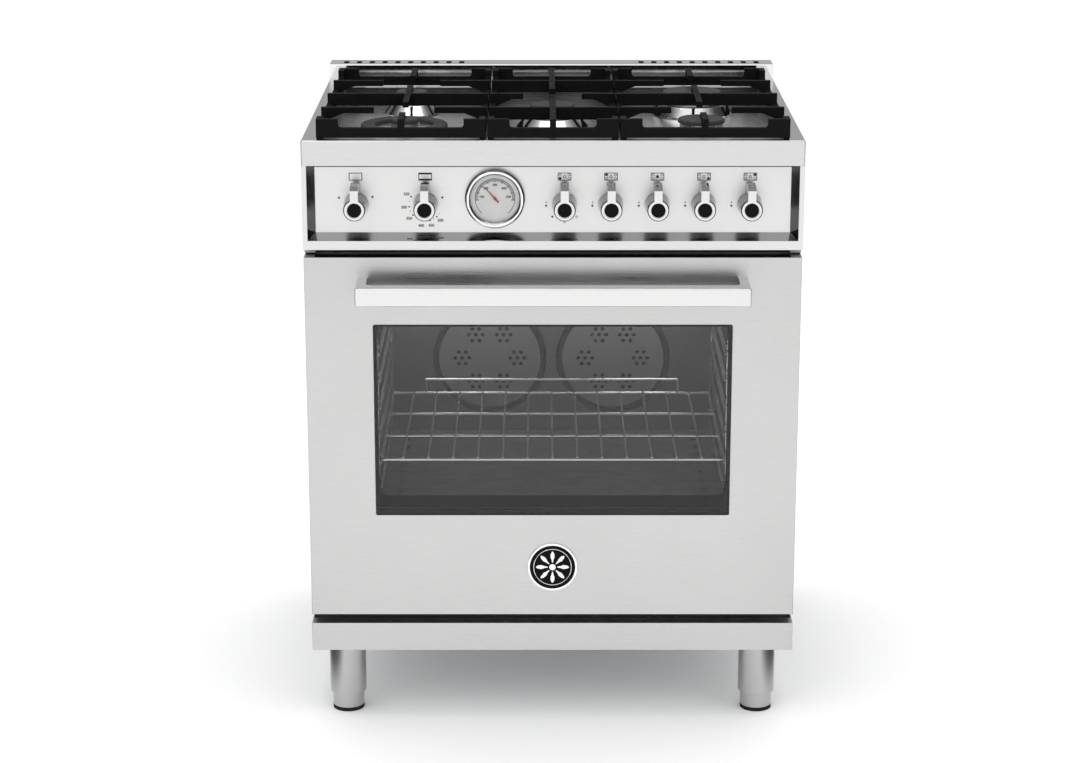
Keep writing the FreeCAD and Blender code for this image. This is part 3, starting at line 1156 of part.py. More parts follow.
def main():
    os.makedirs("parts", exist_ok=True)

    save("worktop", [make_worktop()])
    save("backguard", [make_backguard()])
    save("fascia", [make_fascia()])
    save("control_panel", [make_control_panel()])
    side = make_side_panel()
    save("side_panel_right", [side])
    save("side_panel_left", [mirror_x(side)])
    save("rear_panel", [make_rear_panel()])
    save("base_pan", [make_base_pan()])
    save("plinth", [make_plinth()])
    save("front_frame", [make_front_frame()])

    save("oven_liner", [make_oven_liner()])
    save("insulation", [make_insulation()])
    save("oven_floor", [make_oven_floor()])
    save("oven_burners", make_oven_burners())
    save("fan_covers", [make_fan_cover(x) for x in (-FAN_SPREAD, FAN_SPREAD)])
    save("fan_motors", [make_fan_motor(x) for x in (-FAN_SPREAD, FAN_SPREAD)])
    save("fan_left", [make_fan(-FAN_SPREAD)])
    save("fan_right", [make_fan(FAN_SPREAD)])
    ladder = make_rack_ladder()
    save("rack_ladders", [mirror_x(ladder), ladder])
    save("oven_rack", make_oven_rack())
    save("oven_gasket", [make_gasket()])

    save("door_skin", [make_door_skin()])
    save("door_core", [make_door_core()])
    save("door_glass_outer", [make_outer_glass()])
    save("door_inner_panel", [make_inner_panel()])
    save("door_glass_inner", [make_inner_glass()])
    save("hinge_arms", [make_hinge_arm(x) for x in (-HINGE_X, HINGE_X)])
    save("hinge_brackets", [make_hinge_bracket(x) for x in (-HINGE_X, HINGE_X)])
    save("door_handle", [make_handle()])
    save("badge", make_badge())

    for number, x in enumerate(KNOB_XS, start=1):
        save("knob_%d" % number, make_knob(x))
    for number, x in enumerate(KNOB_XS[1:], start=2):
        save("stem_%d" % number, [make_stem(x)])
    save("gas_valves", [make_valve(x) for x in KNOB_XS[1:]])
    save("gas_manifold", [make_manifold()])
    save("gauge_bezel", [make_gauge_bezel()])
    save("gauge_dial", [make_gauge_dial()])
    save("gauge_needle", [make_gauge_needle()])
    save("gauge_glass", [make_gauge_glass()])

    cups = []
    heads = []
    caps = []
    for name, x, y, base, top, cap in HOB_BURNERS:
        cups.append(make_cup(x, y, base, top))
        if name == RING_BURNER:
            heads.append(make_ring_head(x, y, cap))
            caps.extend(make_ring_caps(x, y, cap))
            heads.append(make_igniter(x, y, (RING_CAP_OPENING + RING_INNER_CAP) / 2))
        else:
            heads.append(make_head(x, y, cap))
            caps.append(cap_disc(x, y, cap, cap_low()))
            heads.append(make_igniter(x, y, cap - CAP_OVERHANG + IGNITER_GAP))
    save("burner_cups", cups)
    save("burner_heads", heads)
    save("burner_caps", caps)
    grate = make_side_grate()
    save("grate_right", [grate])
    save("grate_left", [mirror_x(grate)])
    save("grate_centre", [make_centre_grate()])

    leg_x = HALF - LEG_SIDE_MARGIN
    spots = (("front_left", -leg_x, LEG_END_MARGIN), ("front_right", leg_x, LEG_END_MARGIN),
             ("rear_left", -leg_x, BODY_DEPTH - LEG_END_MARGIN),
             ("rear_right", leg_x, BODY_DEPTH - LEG_END_MARGIN))
    save("leg_sleeves", [make_leg_sleeve(x, y) for _, x, y in spots])
    for name, x, y in spots:
        save("foot_" + name, make_foot(x, y))


main()
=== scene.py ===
import math
import json

import bpy
from mathutils import Matrix, Vector

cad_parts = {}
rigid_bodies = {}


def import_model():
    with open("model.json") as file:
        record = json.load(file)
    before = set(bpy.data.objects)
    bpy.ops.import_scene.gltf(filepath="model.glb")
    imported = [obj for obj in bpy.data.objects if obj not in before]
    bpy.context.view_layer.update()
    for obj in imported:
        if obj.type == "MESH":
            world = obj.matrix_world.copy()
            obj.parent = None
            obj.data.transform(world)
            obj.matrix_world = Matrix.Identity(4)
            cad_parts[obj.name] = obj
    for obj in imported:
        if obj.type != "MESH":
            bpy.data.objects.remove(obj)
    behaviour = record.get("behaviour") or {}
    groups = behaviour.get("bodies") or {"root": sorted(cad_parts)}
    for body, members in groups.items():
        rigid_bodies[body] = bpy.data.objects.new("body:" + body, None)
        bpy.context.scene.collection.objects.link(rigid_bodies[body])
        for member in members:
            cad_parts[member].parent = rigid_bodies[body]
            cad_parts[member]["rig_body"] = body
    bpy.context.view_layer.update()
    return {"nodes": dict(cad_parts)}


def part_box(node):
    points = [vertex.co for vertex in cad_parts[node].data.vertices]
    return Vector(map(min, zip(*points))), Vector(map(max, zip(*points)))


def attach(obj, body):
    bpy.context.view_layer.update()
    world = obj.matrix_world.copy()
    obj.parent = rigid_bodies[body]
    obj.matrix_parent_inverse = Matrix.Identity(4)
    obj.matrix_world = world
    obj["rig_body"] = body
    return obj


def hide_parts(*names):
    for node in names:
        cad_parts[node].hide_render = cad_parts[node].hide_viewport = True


bl_info = {
    "name": "Freestanding gas range",
    "version": (1, 0, 0),
    "blender": (4, 5, 0),
    "location": "View3D > Sidebar > Range",
    "description": "Finishes the steel, castings, controls and glass of a gas range around its fixed frame",
    "category": "Object",
}

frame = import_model()
MM = 0.001

KNOB_NUMBERS = (1, 2, 3, 4, 5, 6, 7)
# Burner that each burner knob serves, as its column and row on the hob: -1 left or front, 1 right or rear
KNOB_BURNER = {3: (-1, -1), 4: (-1, 1), 5: (0, 0), 6: (1, -1), 7: (1, 1)}


# Print on the panel and the dial
PRINT = 0.1 * MM
ICON_RISE = 43.5 * MM
ICON_WIDE = 20.5 * MM
ICON_TALL = 12.0 * MM
OFF_MARK_HALF = 3.2 * MM
OFF_MARK_RISE = 35.0 * MM
# Dark line under the worktop band, partly the joint's dark line and partly a painted shadow of the band; it
# sits lower on the panel the further the panel stands back
SEAM_SHADOW_LINE = 1.3 * MM
SEAM_SHADOW_SLOPE = 0.2

# Knobs
KNOB_TAPER = 2.5 * MM
KNOB_CHAMFER = 1.5 * MM
KNOB_RING = 3.1 * MM
KNOB_RECESS = 1.6 * MM
LEVER_HALF = 6.1 * MM
LEVER_DEPTH = 34 * MM
LEVER_OVERLAP = 3.0 * MM
LEVER_NOSE = 6.0 * MM
INSERT_RADIUS = 10.9 * MM
INSERT_RIM = 2.2 * MM
INSERT_DISH = 0.25 * MM

# Gauge scale: ticks and arc counted in degrees from the top
TICKS = 65
TICK_STEP = 3
TICK_START = 96
TICK_END = 29.6 * MM
ARC_PIECES = 56
ARC_STEP = 5
ARC_START = 137.5
DIAL_NUMBER_RING = 20.5 * MM
DIAL_NUMBER = 5.0 * MM

# Medallion
BADGE_RIM = 3.6 * MM
BADGE_RECESS = 1.6 * MM
PETALS = 8
PETAL_REACH = 16.5 * MM
BADGE_HUB = 5.0 * MM
BADGE_RING = 29.5 * MM

# Feet, door glass and fan covers
PAD_THICK = 6.0 * MM
GLASS_OVERLAP = 18.0 * MM
BORDER_SIDE = 4.5 * MM
BORDER_LOW = 10 * MM
COVER_SEAM = 7.0 * MM


# ---- user's sizes and colours ----
class RangeFinish(bpy.types.PropertyGroup):
    steel: bpy.props.FloatVectorProperty(name="Steel", description="Colour of the brushed steel",
                                         subtype="COLOR", size=4, default=(0.57, 0.57, 0.567, 1.0))
    bright: bpy.props.FloatVectorProperty(name="Bright steel", description="Colour of the polished steel",
                                          subtype="COLOR", size=4, default=(0.83, 0.83, 0.83, 1.0))
    iron: bpy.props.FloatVectorProperty(name="Cast iron", description="Colour of the grates' enamel",
                                        subtype="COLOR", size=4, default=(0.006, 0.006, 0.006, 1.0))
    ink: bpy.props.FloatVectorProperty(name="Ink", description="Colour of the printed marks",
                                       subtype="COLOR", size=4, default=(0.02, 0.02, 0.02, 1.0))
    edge: bpy.props.FloatProperty(name="Steel edge", description="Rounding of folded steel edges",
                                  subtype="DISTANCE", unit="LENGTH", default=0.7 * MM)
    iron_edge: bpy.props.FloatProperty(name="Iron edge", description="Rounding of the cast bars",
                                       subtype="DISTANCE", unit="LENGTH", default=1.3 * MM)


class RangeMarks(bpy.types.PropertyGroup):
    ring: bpy.props.FloatProperty(name="Mark circle", description="Radius of the marks round each knob",
                                  subtype="DISTANCE", unit="LENGTH", default=28.0 * MM)
    dot: bpy.props.FloatProperty(name="Dot", description="Radius of a round mark",
                                 subtype="DISTANCE", unit="LENGTH", default=1.7 * MM)
    number: bpy.props.FloatProperty(name="Number", description="Height of the printed numbers",
                                    subtype="DISTANCE", unit="LENGTH", default=6.0 * MM)
    film: bpy.props.FloatProperty(name="Ink film", description="How far the print stands off the steel",
                                  subtype="DISTANCE", unit="LENGTH", default=0.12 * MM)


class RangeStage(bpy.types.PropertyGroup):
    lens: bpy.props.FloatProperty(name="Lens", description="Focal length in millimetres",
                                  subtype="DISTANCE_CAMERA", unit="CAMERA", default=89.0)
    distance: bpy.props.FloatProperty(name="Distance", description="Camera to the door's front",
                                      subtype="DISTANCE", unit="LENGTH", default=3.96)
    height: bpy.props.FloatProperty(name="Height", description="Camera above the floor",
                                    subtype="DISTANCE", unit="LENGTH", default=1.658)
    aside: bpy.props.FloatProperty(name="Aside", description="Camera to the right of the middle",
                                   subtype="DISTANCE", unit="LENGTH", default=-0.0196)
    tilt: bpy.props.FloatProperty(name="Tilt", description="Camera's angle below level",
                                  subtype="ANGLE", unit="ROTATION", default=math.radians(15.77))
    rise: bpy.props.FloatProperty(name="Rise", description="Vertical shift of the picture, in widths",
                                  default=0.011)
    floor: bpy.props.FloatVectorProperty(name="Floor", description="Colour of the floor",
                                         subtype="COLOR", size=4, default=(0.97, 0.97, 0.97, 1.0))


# ---- shader groups ----
def new_group(name, inputs, outputs):
    """Shader node group with float inputs and named outputs."""
    group = bpy.data.node_groups.new(name, "ShaderNodeTree")
    for label, value in inputs:
        group.interface.new_socket(label, in_out="INPUT", socket_type="NodeSocketFloat").default_value = value
    for label in outputs:
        group.interface.new_socket(label, in_out="OUTPUT", socket_type="NodeSocketFloat")
    return group


def node(tree, kind, **settings):
    made = tree.nodes.new(kind)
    for key, value in settings.items():
        setattr(made, key, value)
    return made


def math_node(tree, operation, first, second=None):
    """Math node between two sockets or numbers; gives back its output."""
    made = node(tree, "ShaderNodeMath", operation=operation)
    for index, value in enumerate((first, second)):
        if value is None:
            continue
        if isinstance(value, (int, float)):
            made.inputs[index].default_value = value
        else:
            tree.links.new(value, made.inputs[index])
    return made.outputs[0]


def grain_group():
    """Fine streaks of a brushed finish. Across sets the lines per metre, Along stretches them."""
    tree = new_group("Brushed grain", [("Across", 3000.0), ("Along", 12.0), ("Turn", 0.0)],
                     ["Streaks", "Cloud"])
    source = node(tree, "NodeGroupInput")
    sink = node(tree, "NodeGroupOutput")
    coords = node(tree, "ShaderNodeTexCoord")
    turned = node(tree, "ShaderNodeVectorRotate", rotation_type="Y_AXIS")
    tree.links.new(coords.outputs["Object"], turned.inputs["Vector"])
    tree.links.new(source.outputs["Turn"], turned.inputs["Angle"])
    split = node(tree, "ShaderNodeSeparateXYZ")
    tree.links.new(turned.outputs[0], split.inputs[0])
    joined = node(tree, "ShaderNodeCombineXYZ")
    for index, scale in enumerate(("Along", "Across", "Across")):
        tree.links.new(math_node(tree, "MULTIPLY", split.outputs[index], source.outputs[scale]),
                       joined.inputs[index])
    streaks = node(tree, "ShaderNodeTexNoise")
    streaks.inputs["Scale"].default_value = 1.0
    streaks.inputs["Detail"].default_value = 3.0
    tree.links.new(joined.outputs[0], streaks.inputs["Vector"])
    cloud = node(tree, "ShaderNodeTexNoise")
    cloud.inputs["Scale"].default_value = 5.0
    cloud.inputs["Detail"].default_value = 4.0
    tree.links.new(coords.outputs["Object"], cloud.inputs["Vector"])
    tree.links.new(streaks.outputs["Fac"], sink.inputs["Streaks"])
    tree.links.new(cloud.outputs["Fac"], sink.inputs["Cloud"])
    return tree


def cast_group():
    """Rough surface of a sand casting under enamel: a height and a slow cloud."""
    tree = new_group("Cast surface", [("Grit", 900.0), ("Lumps", 90.0)], ["Height", "Cloud"])
    source = node(tree, "NodeGroupInput")
    sink = node(tree, "NodeGroupOutput")
    coords = node(tree, "ShaderNodeTexCoord")
    layers = []
    for label, detail in (("Grit", 4.0), ("Lumps", 2.0)):
        layer = node(tree, "ShaderNodeTexNoise")
        layer.inputs["Detail"].default_value = detail
        tree.links.new(coords.outputs["Object"], layer.inputs["Vector"])
        tree.links.new(source.outputs[label], layer.inputs["Scale"])
        layers.append(layer.outputs["Fac"])
    tree.links.new(math_node(tree, "ADD", layers[0], layers[1]), sink.inputs["Height"])
    tree.links.new(layers[1], sink.inputs["Cloud"])
    return tree


GROUPS = {}


def shared(name):
    """Shared shader group, built the first time that it is asked for."""
    makers = {"grain": grain_group, "cast": cast_group}
    if name not in GROUPS:
        GROUPS[name] = makers[name]()
    return GROUPS[name]


# ---- materials ----
def blank_material(name, colour, metallic, roughness, coat=0.0):
    """Material with one Principled shader, its plain values set on the shader's own sockets."""
    made = bpy.data.materials.new(name)
    made.use_nodes = True
    shader = made.node_tree.nodes["Principled BSDF"]
    shader.inputs["Base Color"].default_value = colour
    shader.inputs["Metallic"].default_value = metallic
    shader.inputs["Roughness"].default_value = roughness
    shader.inputs["Coat Weight"].default_value = coat
    shader.inputs["Coat Roughness"].default_value = 0.08
    return made, made.node_tree, shader


def place_group(tree, name, values):
    made = node(tree, "ShaderNodeGroup")
    made.node_tree = shared(name)
    for label, value in values.items():
        made.inputs[label].default_value = value
    return made


def remap(tree, value, low, high):
    """Map a 0 to 1 value to a range."""
    made = node(tree, "ShaderNodeMapRange")
    made.inputs["To Min"].default_value = low
    made.inputs["To Max"].default_value = high
    made.inputs["From Min"].default_value = 0.3
    made.inputs["From Max"].default_value = 0.7
    tree.links.new(value, made.inputs["Value"])
    return made.outputs["Result"]


def tint(tree, shader, mask, dark, light):
    """Colour variation between two shades, driven by a mask."""
    mix = node(tree, "ShaderNodeMix", data_type="RGBA")
    mix.inputs["A"].default_value = dark
    mix.inputs["B"].default_value = light
    tree.links.new(mask, mix.inputs["Factor"])
    tree.links.new(mix.outputs["Result"], shader.inputs["Base Color"])


def bump(tree, shader, height, strength, distance):
    made = node(tree, "ShaderNodeBump")
    made.inputs["Strength"].default_value = strength
    made.inputs["Distance"].default_value = distance
    tree.links.new(height, made.inputs["Height"])
    tree.links.new(made.outputs["Normal"], shader.inputs["Normal"])


def shade(colour, share):
    """The colour made lighter or darker by a share."""
    return tuple(min(1.0, c * share) for c in colour[:3]) + (1.0,)


def brushed(name, colour, low, high, turn=0.0, across=3000.0, along=12.0, strength=0.12):
    made, tree, shader = blank_material(name, colour, 1.0, (low + high) / 2)
    grain = place_group(tree, "grain", {"Across": across, "Along": along, "Turn": turn})
    rough = math_node(tree, "ADD", remap(tree, grain.outputs["Streaks"], low, high),
                      remap(tree, grain.outputs["Cloud"], -0.03, 0.03))
    tree.links.new(rough, shader.inputs["Roughness"])
    tint(tree, shader, grain.outputs["Streaks"], shade(colour, 0.93), shade(colour, 1.05))
    bump(tree, shader, grain.outputs["Streaks"], strength, 0.00005)
    return made


def cast(name, colour, low, high, strength, grit=900.0, metallic=0.0):
    made, tree, shader = blank_material(name, colour, metallic, (low + high) / 2)
    shader.inputs["Specular IOR Level"].default_value = 0.5 if metallic else 0.06
    shader.inputs["IOR"].default_value = 1.5 if metallic else 1.35
    surface = place_group(tree, "cast", {"Grit": grit, "Lumps": grit / 10})
    tree.links.new(remap(tree, surface.outputs["Cloud"], low, high), shader.inputs["Roughness"])
    tint(tree, shader, surface.outputs["Cloud"], shade(colour, 0.75), shade(colour, 1.35))
    bump(tree, shader, surface.outputs["Height"], strength, 0.0004)
    return made


def polished(name, colour, low=0.04, high=0.10):
    made, tree, shader = blank_material(name, colour, 1.0, low)
    grain = place_group(tree, "grain", {"Across": 900.0, "Along": 60.0})
    tree.links.new(remap(tree, grain.outputs["Cloud"], low, high), shader.inputs["Roughness"])
    tint(tree, shader, grain.outputs["Cloud"], shade(colour, 0.96), shade(colour, 1.03))
    return made


def painted(name, colour, rough=0.3, coat=0.4, strength=0.05):
    made, tree, shader = blank_material(name, colour, 0.0, rough, coat)
    surface = place_group(tree, "cast", {"Grit": 1400.0, "Lumps": 60.0})
    roughness = remap(tree, surface.outputs["Cloud"], rough * 0.8, rough * 1.25)
    tree.links.new(roughness, shader.inputs["Roughness"])
    tint(tree, shader, surface.outputs["Cloud"], shade(colour, 0.92), shade(colour, 1.06))
    bump(tree, shader, surface.outputs["Height"], strength, 0.0002)
    return made


def glass(name, colour, bending):
    """Clear or smoked glass; bending is its index of refraction."""
    made, tree, shader = blank_material(name, colour, 0.0, 0.0)
    shader.inputs["Transmission Weight"].default_value = 1.0
    shader.inputs["IOR"].default_value = bending
    surface = place_group(tree, "cast", {"Grit": 40.0, "Lumps": 6.0})
    tree.links.new(remap(tree, surface.outputs["Cloud"], 0.0, 0.008), shader.inputs["Roughness"])
    return made


def make_materials(finish):
    """Every finish of the range, by name."""
    steel = tuple(finish.steel)
    bright = tuple(finish.bright)
    iron = tuple(finish.iron)
    border = painted("Glass border", (0.008, 0.008, 0.008, 1.0), 0.7, 0.0, 0.01)
    border.node_tree.nodes["Principled BSDF"].inputs["Specular IOR Level"].default_value = 0.0
    return {
        "steel": brushed("Brushed steel", steel, 0.24, 0.36),
        "panel": brushed("Panel steel", shade(steel, 1.27), 0.28, 0.40, across=3600.0),
        "well": brushed("Pressed steel", shade(steel, 1.16), 0.22, 0.32, across=2200.0),
        "legs": brushed("Leg steel", shade(steel, 0.84), 0.16, 0.26, turn=math.pi / 2),
        "handle": brushed("Handle steel", shade(steel, 1.3), 0.2, 0.3, across=4200.0),
        "bright": polished("Polished steel", bright),
        "chrome": polished("Chrome", (0.9, 0.9, 0.9, 1.0), 0.02, 0.06),
        "wire": polished("Plated wire", (0.75, 0.75, 0.75, 1.0), 0.12, 0.25),
        "zinc": cast("Zinc sheet", (0.55, 0.57, 0.58, 1.0), 0.3, 0.5, 0.05, 160.0, 1.0),
        "tube": brushed("Drawn steel", (0.5, 0.5, 0.5, 1.0), 0.3, 0.45, across=1500.0),
        "brass": brushed("Valve brass", (0.72, 0.56, 0.28, 1.0), 0.25, 0.4, across=1800.0),
        "side": painted("Side paint", (0.30, 0.31, 0.32, 1.0), 0.35, 0.2),
        "enamel": painted("Oven enamel", (0.1, 0.1, 0.104, 1.0), 0.4, 0.1, 0.004),
        "cover": painted("Fan cover enamel", (0.17, 0.17, 0.172, 1.0), 0.4, 0.1, 0.01),
        "core": painted("Black core", (0.012, 0.012, 0.012, 1.0), 0.6, 0.0),
        "iron": cast("Cast iron enamel", iron, 0.38, 0.55, 0.35),
        "cap": cast("Cap enamel", (0.045, 0.045, 0.046, 1.0), 0.32, 0.45, 0.12, 1300.0),
        "alloy": cast("Cast alloy", (0.62, 0.62, 0.61, 1.0), 0.3, 0.45, 0.15, 1500.0, 1.0),
        "insert": cast("Black insert", (0.006, 0.006, 0.006, 1.0), 0.3, 0.4, 0.03, 1300.0),
        # Dark and grey steels for reveal faces of the fascia and gauge bezel: painted shade
        "shade_side": polished("Side reveal shade", (0.13, 0.13, 0.13, 1.0), 0.05, 0.12),
        "knob": polished("Knob face", (0.74, 0.74, 0.74, 1.0), 0.08, 0.16),
        # Dark chrome for the knobs' side faces: painted shade
        "knob_side": polished("Knob side shade", (0.12, 0.12, 0.12, 1.0), 0.06, 0.14),
        "shade_low": polished("Lower reveal shade", (0.42, 0.42, 0.42, 1.0), 0.05, 0.12),
        "rubber": cast("Pad rubber", (0.015, 0.015, 0.015, 1.0), 0.6, 0.8, 0.2, 1100.0),
        "ink": painted("Printed ink", tuple(finish.ink), 0.5, 0.0, 0.01),
        "dial": painted("Dial face", (0.86, 0.86, 0.86, 1.0), 0.35, 0.2, 0.02),
        "needle": painted("Needle paint", (0.45, 0.06, 0.03, 1.0), 0.3, 0.2, 0.02),
        "wool": cast("Mineral wool", (0.6, 0.56, 0.4, 1.0), 0.85, 0.95, 0.8, 260.0),
        "seal": cast("Woven seal", (0.06, 0.06, 0.06, 1.0), 0.8, 0.9, 0.7, 700.0),
        "window": glass("Smoked glass", (0.8, 0.8, 0.81, 1.0), 1.34),
        "clear": glass("Clear glass", (0.97, 0.97, 0.97, 1.0), 1.2),
        "border": border,
    }


MATERIALS = {}


def paint(piece, name):
    """Give a piece one finish."""
    if not MATERIALS:
        MATERIALS.update(make_materials(bpy.context.scene.range_finish))
    piece.data.materials.clear()
    piece.data.materials.append(MATERIALS[name])


# ---- modelling helpers ----
def deselect():
    if bpy.context.object and bpy.context.object.mode != "OBJECT":
        bpy.ops.object.mode_set(mode="OBJECT")
    bpy.ops.object.select_all(action="DESELECT")


def activate(piece):
    """Make this the only selected object."""
    deselect()
    piece.select_set(True)
    bpy.context.view_layer.objects.active = piece


def edit(piece):
    activate(piece)
    bpy.ops.object.mode_set(mode="EDIT")
    bpy.ops.mesh.select_all(action="SELECT")


def leave_edit():
    bpy.ops.object.mode_set(mode="OBJECT")


def settle(piece, name):
    """Put a finished piece's place into its mesh."""
    activate(piece)
    bpy.ops.object.transform_apply(location=True, rotation=True, scale=True)
    piece.name = name
    piece.data.name = name
    return piece


def apply_modifier(piece, kind, **settings):
    activate(piece)
    made = piece.modifiers.new(kind, kind)
    for key, value in settings.items():
        setattr(made, key, value)
    bpy.ops.object.modifier_apply(modifier=made.name)


def soften(piece, width, segments=2, angle=35.0):
    """Round every sharp edge and smooth the shading between them."""
    apply_modifier(piece, "BEVEL", width=width, segments=segments, limit_method="ANGLE",
                   angle_limit=math.radians(angle), use_clamp_overlap=True)
    activate(piece)
    bpy.ops.object.shade_smooth_by_angle(angle=math.radians(angle))
    apply_modifier(piece, "WEIGHTED_NORMAL", keep_sharp=True, weight=100)


def copy_of(source_node, name):
    """A merged copy of a fixed node, ready to be finished."""
    source = frame["nodes"][source_node]
    piece = bpy.data.objects.new(name, source.data.copy())
    bpy.context.scene.collection.objects.link(piece)
    edit(piece)
    bpy.ops.mesh.remove_doubles(threshold=0.01 * MM)
    bpy.ops.mesh.dissolve_limited(angle_limit=math.radians(0.5))
    leave_edit()
    return piece


def place(piece, body, finish, replaced=None):
    """Finish and body of a new piece, hiding the fixed node that it replaces."""
    paint(piece, finish)
    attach(piece, body)
    if replaced:
        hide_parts(replaced)
    return piece


def body_of(node_name):
    return frame["nodes"][node_name]["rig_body"]


def finish_node(node_name, finish, width, segments=2, angle=35.0):
    """Replace a fixed node by a copy with rounded edges and a finish."""
    piece = copy_of(node_name, node_name + "_finished")
    soften(piece, width, segments, angle)
    return place(piece, body_of(node_name), finish, node_name)


def turned_disc(x, z, front, back, radius, vertices=96):
    """Cylinder along y between two depths."""
    deselect()
    bpy.ops.mesh.primitive_cylinder_add(vertices=vertices, radius=radius, depth=back - front,
                                        location=(x, (front + back) / 2, z), rotation=(math.pi / 2, 0, 0))
    return bpy.context.object


def block(x0, x1, y0, y1, z0, z1):
    """Box between two corners."""
    deselect()
    bpy.ops.mesh.primitive_cube_add(size=1, location=((x0 + x1) / 2, (y0 + y1) / 2, (z0 + z1) / 2),
                                    scale=(x1 - x0, y1 - y0, z1 - z0))
    return bpy.context.object


def pick_faces(piece, test):
    """Select the faces whose centre and normal pass the test. The piece is in edit mode on leaving."""
    activate(piece)
    bpy.ops.object.mode_set(mode="EDIT")
    bpy.ops.mesh.select_mode(type="FACE")
    bpy.ops.mesh.select_all(action="DESELECT")
    bpy.ops.object.mode_set(mode="OBJECT")
    for face in piece.data.polygons:
        face.select = test(face.center, face.normal)
    bpy.ops.object.mode_set(mode="EDIT")


def twin(piece, name, offset):
    """A copy with its own mesh, moved by an offset in x, y and z."""
    made = bpy.data.objects.new(name, piece.data.copy())
    bpy.context.scene.collection.objects.link(made)
    made.data.name = name
    made.data.transform(Matrix.Translation(offset))
    return made


def darken(piece, name, test):
    """Give the faces whose centre and normal pass the test a second, darker finish: painted shade."""
    piece.data.materials.append(MATERIALS[name])
    for face in piece.data.polygons:
        if test(face.center, face.normal):
            face.material_index = len(piece.data.materials) - 1


def join(pieces, name):
    """One object from several."""
    deselect()
    for piece in pieces:
        piece.select_set(True)
    bpy.context.view_layer.objects.active = pieces[0]
    if len(pieces) > 1:
        bpy.ops.object.join()
    return settle(pieces[0], name)


def centre_of(node_name):
    low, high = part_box(node_name)
    return (low + high) / 2


# ---- steelwork ----
class RANGE_OT_steelwork(bpy.types.Operator):
    """Round the folded edges of the casing and brush its steel"""
    bl_idname = "range.steelwork"
    bl_label = "Steelwork"

    def execute(self, context):
        edge = context.scene.range_finish.edge
        for name, finish, width in (
                ("worktop", "well", edge), ("backguard", "bright", edge / 2), ("fascia", "panel", edge / 2),
                ("control_panel", "panel", edge / 4), ("door_skin", "steel", edge / 3),
                ("plinth", "steel", edge / 2), ("side_panel_left", "side", edge / 3),
                ("side_panel_right", "side", edge / 3), ("leg_sleeves", "legs", edge / 2)):
            finish_node(name, finish, width)
        fascia = bpy.data.objects["fascia_finished"]
        # Painted shade: the pockets' inward side faces take the dark steel, their upward faces the grey one
        darken(fascia, "shade_side", lambda centre, normal: centre.x * normal.x < 0 and normal.y < -0.3
               and abs(normal.x) > 0.5)
        darken(fascia, "shade_low", lambda centre, normal: normal.z > 0.5 and normal.y < -0.3)
        handle = finish_node("door_handle", "handle", edge)
        middle = centre_of("door_handle").y
        # Painted shade: the bar's rear faces take the black core, so the door behind the bar reflects them dark
        darken(handle, "core", lambda centre, normal: normal.y > 0.7 and centre.y < middle)
        return {"FINISHED"}


class RANGE_OT_grates(bpy.types.Operator):
    """Round the cast bars of the three grates"""
    bl_idname = "range.grates"
    bl_label = "Grates"

    def execute(self, context):
        for side in ("left", "centre", "right"):
            finish_node("grate_" + side, "iron", context.scene.range_finish.iron_edge, 3)
        return {"FINISHED"}


class RANGE_OT_burners(bpy.types.Operator):
    """Finish the burner cups, heads and caps"""
    bl_idname = "range.burners"
    bl_label = "Burners"

    def execute(self, context):
        finish_node("burner_cups", "bright", 0.5 * MM, 2, 20.0)
        finish_node("burner_caps", "cap", 0.6 * MM, 3, 20.0)
        paint(frame["nodes"]["burner_heads"], "alloy")
        return {"FINISHED"}


# ---- knobs ----
def knob_place(number):
    """Axis and front of a knob, as x, y and z."""
    low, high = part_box("knob_%d" % number)
    return Vector(((low.x + high.x) / 2, low.y, low.z + (high.x - low.x) / 2))


def model_knob(number):
    """Turned knob body with its lever tab, in one mesh."""
    low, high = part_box("knob_%d" % number)
    x, front, z = knob_place(number)
    skirt = (high.x - low.x) / 2
    face = skirt - KNOB_TAPER
    body = turned_disc(x, z, front, high.y, skirt)
    edit(body)
    pick_faces(body, lambda centre, normal: normal.z > 0.9)
    shrink = face / skirt
    bpy.ops.transform.resize(value=(shrink, shrink, shrink), center_override=(x, front, z))
    bpy.ops.mesh.inset(thickness=KNOB_CHAMFER)
    bpy.ops.mesh.select_all(action="DESELECT")
    bpy.ops.mesh.select_mode(type="VERT")
    leave_edit()
    for vertex in body.data.vertices:
        reach = math.hypot(vertex.co.x, vertex.co.y)
        vertex.select = vertex.co.z > (high.y - front) / 2 - 0.1 * MM and reach > face - 0.5 * MM
    bpy.ops.object.mode_set(mode="EDIT")
    bpy.ops.transform.translate(value=(0, KNOB_CHAMFER, 0))
    pick_faces(body, lambda centre, normal: normal.z > 0.9)
    bpy.ops.mesh.inset(thickness=KNOB_RING)
    bpy.ops.mesh.extrude_region_move(TRANSFORM_OT_translate={"value": (0, KNOB_RECESS, 0)})
    leave_edit()
    settle(body, "knob_body")
    lever = block(x - LEVER_HALF, x + LEVER_HALF, front, front + LEVER_DEPTH, z + face - LEVER_OVERLAP, high.z)
    settle(lever, "lever")
    edit(lever)
    bpy.ops.mesh.select_mode(type="EDGE")
    bpy.ops.mesh.select_all(action="DESELECT")
    leave_edit()
    for edge in lever.data.edges:
        ends = [lever.data.vertices[index].co for index in edge.vertices]
        edge.select = all(end.z > high.z - MM and end.y < front + MM for end in ends)
    bpy.ops.object.mode_set(mode="EDIT")
    bpy.ops.mesh.bevel(offset=LEVER_NOSE, segments=1, affect="EDGES")
    leave_edit()
    apply_boolean(body, lever, "UNION")
    soften(body, 0.5 * MM, 2, 32.0)
    return body


